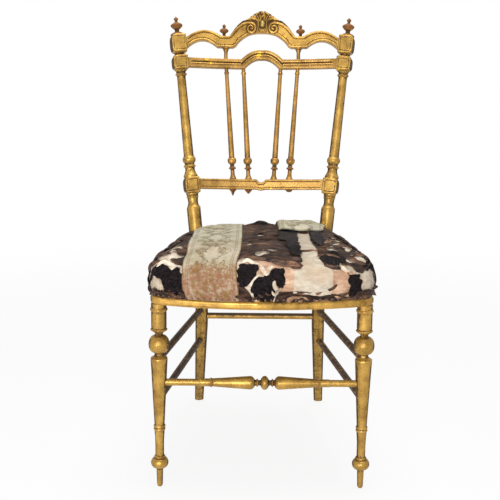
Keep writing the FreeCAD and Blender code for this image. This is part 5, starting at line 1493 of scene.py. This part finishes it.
for name, finish, lift, corners in patches:
    corners = np.array(corners)
    low, high = corners.min(0) - patch_margin, corners.max(0) + patch_margin
    across, along = np.meshgrid(*(np.arange(low[i], high[i], patch_spacing) for i in (0, 1)))
    torn = np.sin(across * 290.0 + 2.0 * np.sin(along * 170.0))
    torn = torn + np.sin(along * 370.0 + 2.0 * np.sin(across * 130.0))
    torn = torn * (thin_tear if finish in (cotton, linen) else thick_tear)
    edge = outline_distance(across, along, corners) + torn
    edge = np.minimum(edge, hem_distance(across, along) - hem_margin)
    ripple = patch_ripple * np.sin(across * 310.0 + along * 170.0) * np.sin(along * 260.0)
    curled = patch_curl * np.exp(-np.abs(edge) / 0.003)
    points, cloth = cloth_grid(across, along, lift + ripple + curled, edge)
    patch = mesh_piece(name, [(points, 0.0, False)], finish, cloth)
    area = cut_away(patch, torn_limit)
    kept = edge > torn_limit

# Brocade band: a heavy strip with a woven border at each side, laid from front to back over the silk
# and nailed at both ends. Its front end is stained ochre and pink-brown.
# The flowers are a plain pattern of this script's own.

brocade_half, brocade_repeat, brocade_wander = 0.0505, 0.092, 0.019
petal_count, petal_reach, petal_swing, heart_radius = 5.0, 0.0118, 0.0030, 0.0048
bud_across, bud_along, bud_petals, bud_reach, bud_swing = 0.0225, 0.0265, 4.0, 0.0078, 0.0024
stem_across, stem_swing, leaf_pitch, leaf_reach, leaf_half = 0.0140, 0.0070, 0.0125, 0.0036, 0.0008
border_lines, dots_across, dot_pitch, brocade_thickness = (0.0385, 0.0425), 0.0405, 0.0044, 0.0010


def line_mark(distance, place, half):
    """1 on a woven line at that distance, and 0 beside it."""
    return (distance - place).size().step(half * 1.6, half * 0.5)


brocade_weave, (across, along, stain) = new_group(
    "brocade_weave", {"Across": "value", "Along": "value", "Stain": "value"},
    {"Color": "colour", "Height": "value"})
wobble = noise(brocade_weave, 85.0, 4.0, 0.65)
drift = noise(brocade_weave, 105.0, 4.0, 0.65)
cloud = noise(brocade_weave, 32.0, 4.0, 0.6)
thread = noise(brocade_weave, 900.0, 2.0, 0.7)
x = across + (wobble - 0.5) * brocade_wander
y = ((along / brocade_repeat).math("FRACT") - 0.5) * brocade_repeat + (drift - 0.5) * brocade_wander
far = (x * x + y * y).math("SQRT")
petal = (y.math("ARCTAN2", x) * petal_count).math("COSINE") * petal_swing + petal_reach - far
side_x, side_y = x.size() - bud_across, y.size() - bud_along
side_far = (side_x * side_x + side_y * side_y).math("SQRT")
bud = (side_y.math("ARCTAN2", side_x) * bud_petals + 0.8).math("COSINE") * bud_swing + bud_reach - side_far
stem = x.size() - stem_across - (y * (4.0 * math.pi / brocade_repeat)).math("SINE") * stem_swing
leaf = (y * (2.0 * math.pi / leaf_pitch)).math("SINE").size() * leaf_reach
leaf = (stem.size() * -1.0 + leaf_half) + leaf
flowered = across.size().step(0.0365, 0.0340)
drawn = line_mark(petal, 0.0, 0.0010).most(line_mark(far, heart_radius, 0.0009))
drawn = drawn.most(line_mark(bud, 0.0, 0.0010)).most(line_mark(stem, 0.0, 0.0008))
drawn = drawn.most(line_mark(leaf, 0.0, 0.0006)) * flowered
filled = petal.step(-0.0003, 0.0005).most(bud.step(-0.0003, 0.0005)).most(leaf.step(-0.0002, 0.0004))
filled = filled * flowered
border = [line_mark(across.size(), place, 0.0005) for place in border_lines]
border = border[0].most(border[1])
dots = (along * (2.0 * math.pi / dot_pitch)).math("SINE").step(0.2, 0.6)
dots = dots * line_mark(across.size(), dots_across, 0.0009)
# The outermost millimetre of each side is darker brown.
dark_side_edge = across.size().step(0.0482, 0.0490)
ground = mixed(cloud.step(0.35, 0.65), tone(0.80, 0.77, 0.68), tone(0.71, 0.68, 0.57))
colour = mixed(filled * (cloud * 1.4 - 0.30), ground, tone(0.62, 0.56, 0.38))
colour = mixed((drawn * 0.9).most(border * 0.6).most(dots * 0.6) * (cloud * 1.2 + 0.25), colour,
               tone(0.33, 0.30, 0.24))
colour = mixed(dark_side_edge * 0.75, colour, tone(0.40, 0.31, 0.22))
colour = mixed(stain * (drift.step(0.35, 0.6) * 0.42 + 0.50), colour, tone(0.54, 0.34, 0.22))
colour = mixed(stain * wobble.step(0.48, 0.62) * 0.7, colour, tone(0.47, 0.36, 0.14))
colour = mixed(thread.step(0.48, 0.72) * (stain * 0.3 + 0.45), colour, tone(0.42, 0.36, 0.26))
close_group(brocade_weave, {
    "Color": colour, "Height": filled * 0.5 + drawn * 0.25 + thread * 0.8 + border * 0.4})

brocade, tree = new_finish("old_brocade")
place, edge, weave = cloth_weave(tree, 0.0009)
across, along, _ = place.parts()
cloud = (noise(tree, 60.0, 3.0) - 0.5) * 0.05
stain = (along * -1.0 - 0.185 + cloud).step(0.0, 0.030)
stain = stain.most((along * -1.0 - 0.085 + cloud * 1.6).step(0.0, 0.060) * 0.25)
out = use_group(tree, brocade_weave, {"Across": across, "Along": along, "Stain": stain})
close_finish(tree, out["Color"], weave * 0.1 + 0.8, None, out["Height"] + weave * 0.15, 0.0006,
             frayed(tree, place, edge, 0.0030), Specular_IOR_Level=0.3)

band_left = [(-0.190, -0.2680), (-0.174, -0.2460), (-0.168, -0.231), (-0.159, -0.216), (-0.149, -0.196),
             (-0.142, -0.163), (-0.139, -0.048), (-0.139, 0.110), (-0.128, 0.200), (-0.112, 0.262)]
band_right = [(-0.053, -0.292), (-0.052, -0.2680), (-0.050, -0.248), (-0.049, -0.225), (-0.046, -0.200),
              (-0.039, -0.156), (-0.038, -0.061), (-0.040, 0.110), (-0.036, 0.205), (-0.033, 0.290)]
left, right = drawn_line(band_left, 240, 6)[:, None], drawn_line(band_right, 240, 6)[:, None]
share = np.linspace(0.0, 1.0, 49)[None, :, None]
plan = left + (right - left) * share
across = np.broadcast_to((share[..., 0] - 0.5) * 2.0 * brocade_half, plan.shape[:2])
along = np.broadcast_to(plan[..., 1].mean(axis=1, keepdims=True), plan.shape[:2])
from_side = brocade_half - np.abs(across)
edge = np.minimum(from_side, hem_distance(plan[..., 0], plan[..., 1]) - hem_margin)
band_lift, band_ripple, band_pressed = 0.0036, 0.0005, 0.0012
lift = band_lift + band_ripple * np.sin(along * 160.0) * np.sin(across * 90.0)
lift = lift - band_pressed * np.exp(-from_side / 0.0015)
band = mesh_piece("brocade_strip", [(on_pad(plan[..., 0], plan[..., 1], lift), 0.0, False)], brocade,
                  np.dstack([across, along, edge]))
area = cut_away(band, -0.0005)
thickened(band, brocade_thickness, -1.0)
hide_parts("brocade_band")

# Brocade remnant: what is left of a second strip of the same cloth, torn off in front.
# It is nailed at the back on the right and folded back on itself.

remnant_sides, remnant_front, remnant_nailed = (0.0330, 0.1340), 0.16, 0.02
remnant_path = [(0.238, 0.0036), (0.120, 0.0040), (0.020, 0.0040), (-0.016, 0.0050), (-0.024, 0.0090),
                (-0.016, 0.0135), (0.010, 0.0160), (0.070, 0.0165), (0.120, 0.0130), (0.238, 0.0085)]
path = drawn_line(remnant_path, 240, 8)
run = run_along(path)
share = np.linspace(0.0, 1.0, 61)
turned_in = 0.030 * share ** 6 + 0.016 * np.abs(2.0 * share - 1.0) ** 3 + 0.006 * share
forward = bounded(1.0 - path[:, :1] / remnant_front)
plan_along = path[:, :1] + turned_in * forward
plan_across = remnant_sides[0] + (remnant_sides[1] - remnant_sides[0]) * share
plan_across = plan_across + 0.04 * (path[:, :1] - 0.1) * share
lift = path[:, 1:] + 0.0012 * np.sin(share * 14.0 + path[:, :1] * 60.0) + 0.0030 * forward * (1.0 - share)
pressed = 0.30 + 0.70 * bounded(share / 0.06) ** 0.5
pressed = pressed - 0.45 * bounded(share / 0.3 - 2.33)
lift = band_lift + (lift - band_lift).clip(0.0) * pressed
across = np.broadcast_to((share - 0.5) * 2.0 * brocade_half, plan_along.shape)
along = np.broadcast_to(run[:, None] + remnant_nailed, plan_along.shape)
edge = np.minimum(brocade_half - np.abs(across), np.minimum(run, run[-1] - run)[:, None])
remnant = mesh_piece("folded_remnant", [(on_pad(plan_across, plan_along, lift), 0.0, False)], brocade,
                     np.dstack([across, along, edge]))
thickened(remnant, brocade_thickness)
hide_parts("brocade_remnant")

# Scraps: two small pieces of the second strip of brocade.
# They are still held by the nails of the front edge, where the strip was torn off.

scrap_spacing, scrap_margin, scrap_lift, scrap_ripple, scrap_shift = 0.0016, 0.004, 0.0040, 0.0012, 0.09
for name, corners in (
        ("brocade_scrap_1", [
            (0.052, -0.284), (0.056, -0.262), (0.069, -0.257), (0.098, -0.256), (0.105, -0.260),
            (0.128, -0.256), (0.126, -0.266), (0.075, -0.282)]),
        ("brocade_scrap_2", [
            (0.126, -0.268), (0.132, -0.256), (0.151, -0.252), (0.162, -0.257), (0.150, -0.264)])):
    corners = np.array(corners)
    low, high = corners.min(0), corners.max(0)
    across, along = np.meshgrid(*(np.arange(low[i] - scrap_margin, high[i] + scrap_margin, scrap_spacing)
                                  for i in (0, 1)))
    edge = np.minimum(outline_distance(across, along, corners), hem_distance(across, along) - hem_margin)
    lift = scrap_lift + scrap_ripple * np.sin(across * 230.0) * np.sin(along * 300.0)
    points, cloth = cloth_grid(across, along, lift, edge)
    cloth[..., 0] -= scrap_shift
    scrap = mesh_piece(name, [(points, 0.0, False)], brocade, cloth)
    area = cut_away(scrap, -0.002)
    tuple(high - low)

# Shreds: torn strips of the silk along the hem and over the splits, and curled ends of the muslin,
# each still held by the cover it tore from. A ribbon follows a line on the pad, narrows to both ends
# and stands off the pad as its lift says.

shred_seed, hem_shreds, silk_shreds = 23, 90, 70
shred_cut, shred_steps, shred_lift = 0.10, 24, 0.0008


def ribbon_grid(line, half, lift):
    """A strip along a line: its half width and its lift both follow a half wave, 0 at both ends."""
    line = drawn_line(line, shred_steps, 2)
    way = np.gradient(line, axis=0)
    way /= np.linalg.norm(way, axis=1)[:, None]
    share = np.linspace(0.0, 1.0, shred_steps)
    wide = half * (0.25 + 0.75 * np.sqrt(np.sin(share * math.pi).clip(0.0)))
    side = np.linspace(-1.0, 1.0, 5)
    plan = line[:, None] + np.stack([-way[:, 1], way[:, 0]], 1)[:, None] * (wide[:, None] * side)[..., None]
    lifts = shred_lift + lift * np.sin(share * math.pi)[:, None] * (1.0 + 0.5 * side[None])
    return on_pad(plan[..., 0], plan[..., 1], lifts), 0.0, False


def lay_shreds(name, ribbons, finish):
    """Many ribbons as one piece."""
    grids = [ribbon_grid(*ribbon) for ribbon in ribbons]
    count = sum(grid.shape[0] * grid.shape[1] for grid, _, _ in grids)
    piece = mesh_piece(name, grids, finish, np.tile((0.0, 0.0, 1.0), (count, 1)))


spots = np.random.default_rng(shred_seed)
ribbons = []
for angle in spots.uniform(-math.pi, math.pi, hem_shreds):
    far = float(np.interp(angle, pad_angle, pad_hem, period=2.0 * math.pi)) - spots.uniform(0.003, 0.020)
    length, slant = spots.uniform(0.010, 0.030), spots.uniform(-0.010, 0.010)
    if -2.25 < angle < -1.75:
        continue
    share = np.array([0.0, 0.5, 1.0])
    turned, reach = angle + length / far * share, far + slant * 0.6 * share
    ribbons.append((np.stack([reach * np.cos(turned), reach * np.sin(turned)], 1),
                    spots.uniform(0.0015, 0.0045), spots.uniform(0.001, 0.006)))
lay_shreds("hem_shreds", ribbons, brown_silk)
ribbons = []
while len(ribbons) < silk_shreds:
    place, level = spots.uniform(-0.23, 0.23), spots.uniform(-0.190, 0.16)
    length, slant = spots.uniform(0.018, 0.055), spots.uniform(-0.008, 0.008)
    on_band, on_strip = -0.155 - length < place < -0.030, 0.060 < place + length / 2 < 0.11
    if on_band or on_strip or place + length > 0.24:
        continue
    line = [(place, level), (place + length / 2, level + slant), (place + length, level + slant * 1.5)]
    ribbons.append((line, spots.uniform(0.0010, 0.0030), spots.uniform(0.0015, 0.0040)))
ribbons += [
    ([(0.064, -0.153), (0.085, -0.160), (0.108, -0.159)], 0.0013, 0.0030),
    ([(-0.036, -0.184), (-0.012, -0.190), (0.014, -0.194)], 0.0040, 0.0030),
    ([(0.004, -0.192), (0.030, -0.202), (0.060, -0.206)], 0.0048, 0.0040),
    ([(0.036, -0.198), (0.058, -0.207), (0.076, -0.204)], 0.0050, 0.0050),
    ([(0.044, -0.186), (0.064, -0.194), (0.076, -0.192)], 0.0044, 0.0040),
    ([(0.100, -0.172), (0.128, -0.176), (0.156, -0.186)], 0.0030, 0.0050),
    ([(0.110, -0.196), (0.132, -0.200), (0.158, -0.196)], 0.0026, 0.0040),
    ([(0.150, -0.170), (0.176, -0.180), (0.200, -0.176)], 0.0026, 0.0040),
    ([(-0.236, -0.160), (-0.214, -0.166), (-0.190, -0.172)], 0.0035, 0.0050),
    ([(-0.236, -0.132), (-0.256, -0.146), (-0.268, -0.166)], 0.0050, 0.0050),
    ([(-0.246, -0.152), (-0.262, -0.166), (-0.270, -0.184)], 0.0050, 0.0065),
    ([(-0.258, -0.172), (-0.268, -0.188), (-0.266, -0.206)], 0.0050, 0.0055),
    ([(0.250, -0.168), (0.264, -0.180), (0.274, -0.194)], 0.0032, 0.0090),
]
lay_shreds("silk_shreds", ribbons, brown_silk)
muslin_shreds = [
    ([(-0.039, -0.203), (-0.027, -0.194), (-0.018, -0.202), (-0.004, -0.202)], 0.0030, 0.0030),
    ([(-0.004, -0.204), (0.000, -0.214), (0.008, -0.222), (0.012, -0.212), (0.018, -0.206)], 0.0040, 0.0040),
    ([(-0.004, -0.221), (-0.013, -0.228), (-0.021, -0.236), (-0.024, -0.246)], 0.0020, 0.0045),
    ([(0.022, -0.232), (0.024, -0.243), (0.030, -0.250), (0.034, -0.244)], 0.0035, 0.0080),
    ([(0.018, -0.252), (0.026, -0.258), (0.034, -0.252), (0.038, -0.246)], 0.0030, 0.0060),
    ([(-0.206, -0.182), (-0.186, -0.178), (-0.172, -0.186), (-0.160, -0.190)], 0.0028, 0.0035),
    ([(-0.215, -0.196), (-0.206, -0.204), (-0.204, -0.214), (-0.212, -0.222)], 0.0018, 0.0040),
    ([(0.134, -0.204), (0.146, -0.196), (0.158, -0.200), (0.168, -0.196)], 0.0026, 0.0040),
]
lay_shreds("muslin_shreds", muslin_shreds, muslin)

# Cover nails: small round brass heads, dulled pink-brown.
# They are driven through the covers into the frame, evenly all round the hem.

nail_spacing, nail_radius, nail_inset, nail_dome_share = 0.0112, 0.0023, 0.0048, 0.7
cover_top, nail_seat = 0.0038, 0.0034

nail_metal, tree = new_finish("dull_nail")
close_finish(tree, mixed(noise(tree, 400.0, 3.0), tone(0.24, 0.17, 0.15), tone(0.50, 0.38, 0.34)),
             noise(tree, 250.0) * 0.2 + 0.35, None, None, Metallic=0.5)
far = pad_hem - nail_inset
line = np.stack([np.cos(pad_angle) * far, np.sin(pad_angle) * far], 1)
at = on_pad(line[:, 0], line[:, 1], np.full(len(line), cover_top))
run = run_along(at)
even = np.arange(nail_spacing, run[-1], nail_spacing)
angle = np.interp(even, run, pad_angle)
far = np.interp(angle, pad_angle, pad_hem, period=2.0 * math.pi) - nail_inset
across, along = np.cos(angle) * far, np.sin(angle) * far
seats = on_pad(across, along, np.full(len(angle), nail_seat))
ways = on_pad(across, along, np.ones(len(angle))) - on_pad(across, along, np.zeros(len(angle)))
rise = np.linspace(0.0, math.pi / 2, 5)
grids = []
for seat_point, way in zip(seats, ways):
    centres = seat_point + way * (np.sin(rise) * nail_radius * nail_dome_share)[:, None]
    grids.append((ring_grid(centres, np.tile(way, (5, 1)), np.cos(rise) * nail_radius, (0.0, 0.0, 1.0), 12),
                  0.0, True))
nails = mesh_piece("cover_nails", grids, nail_metal)
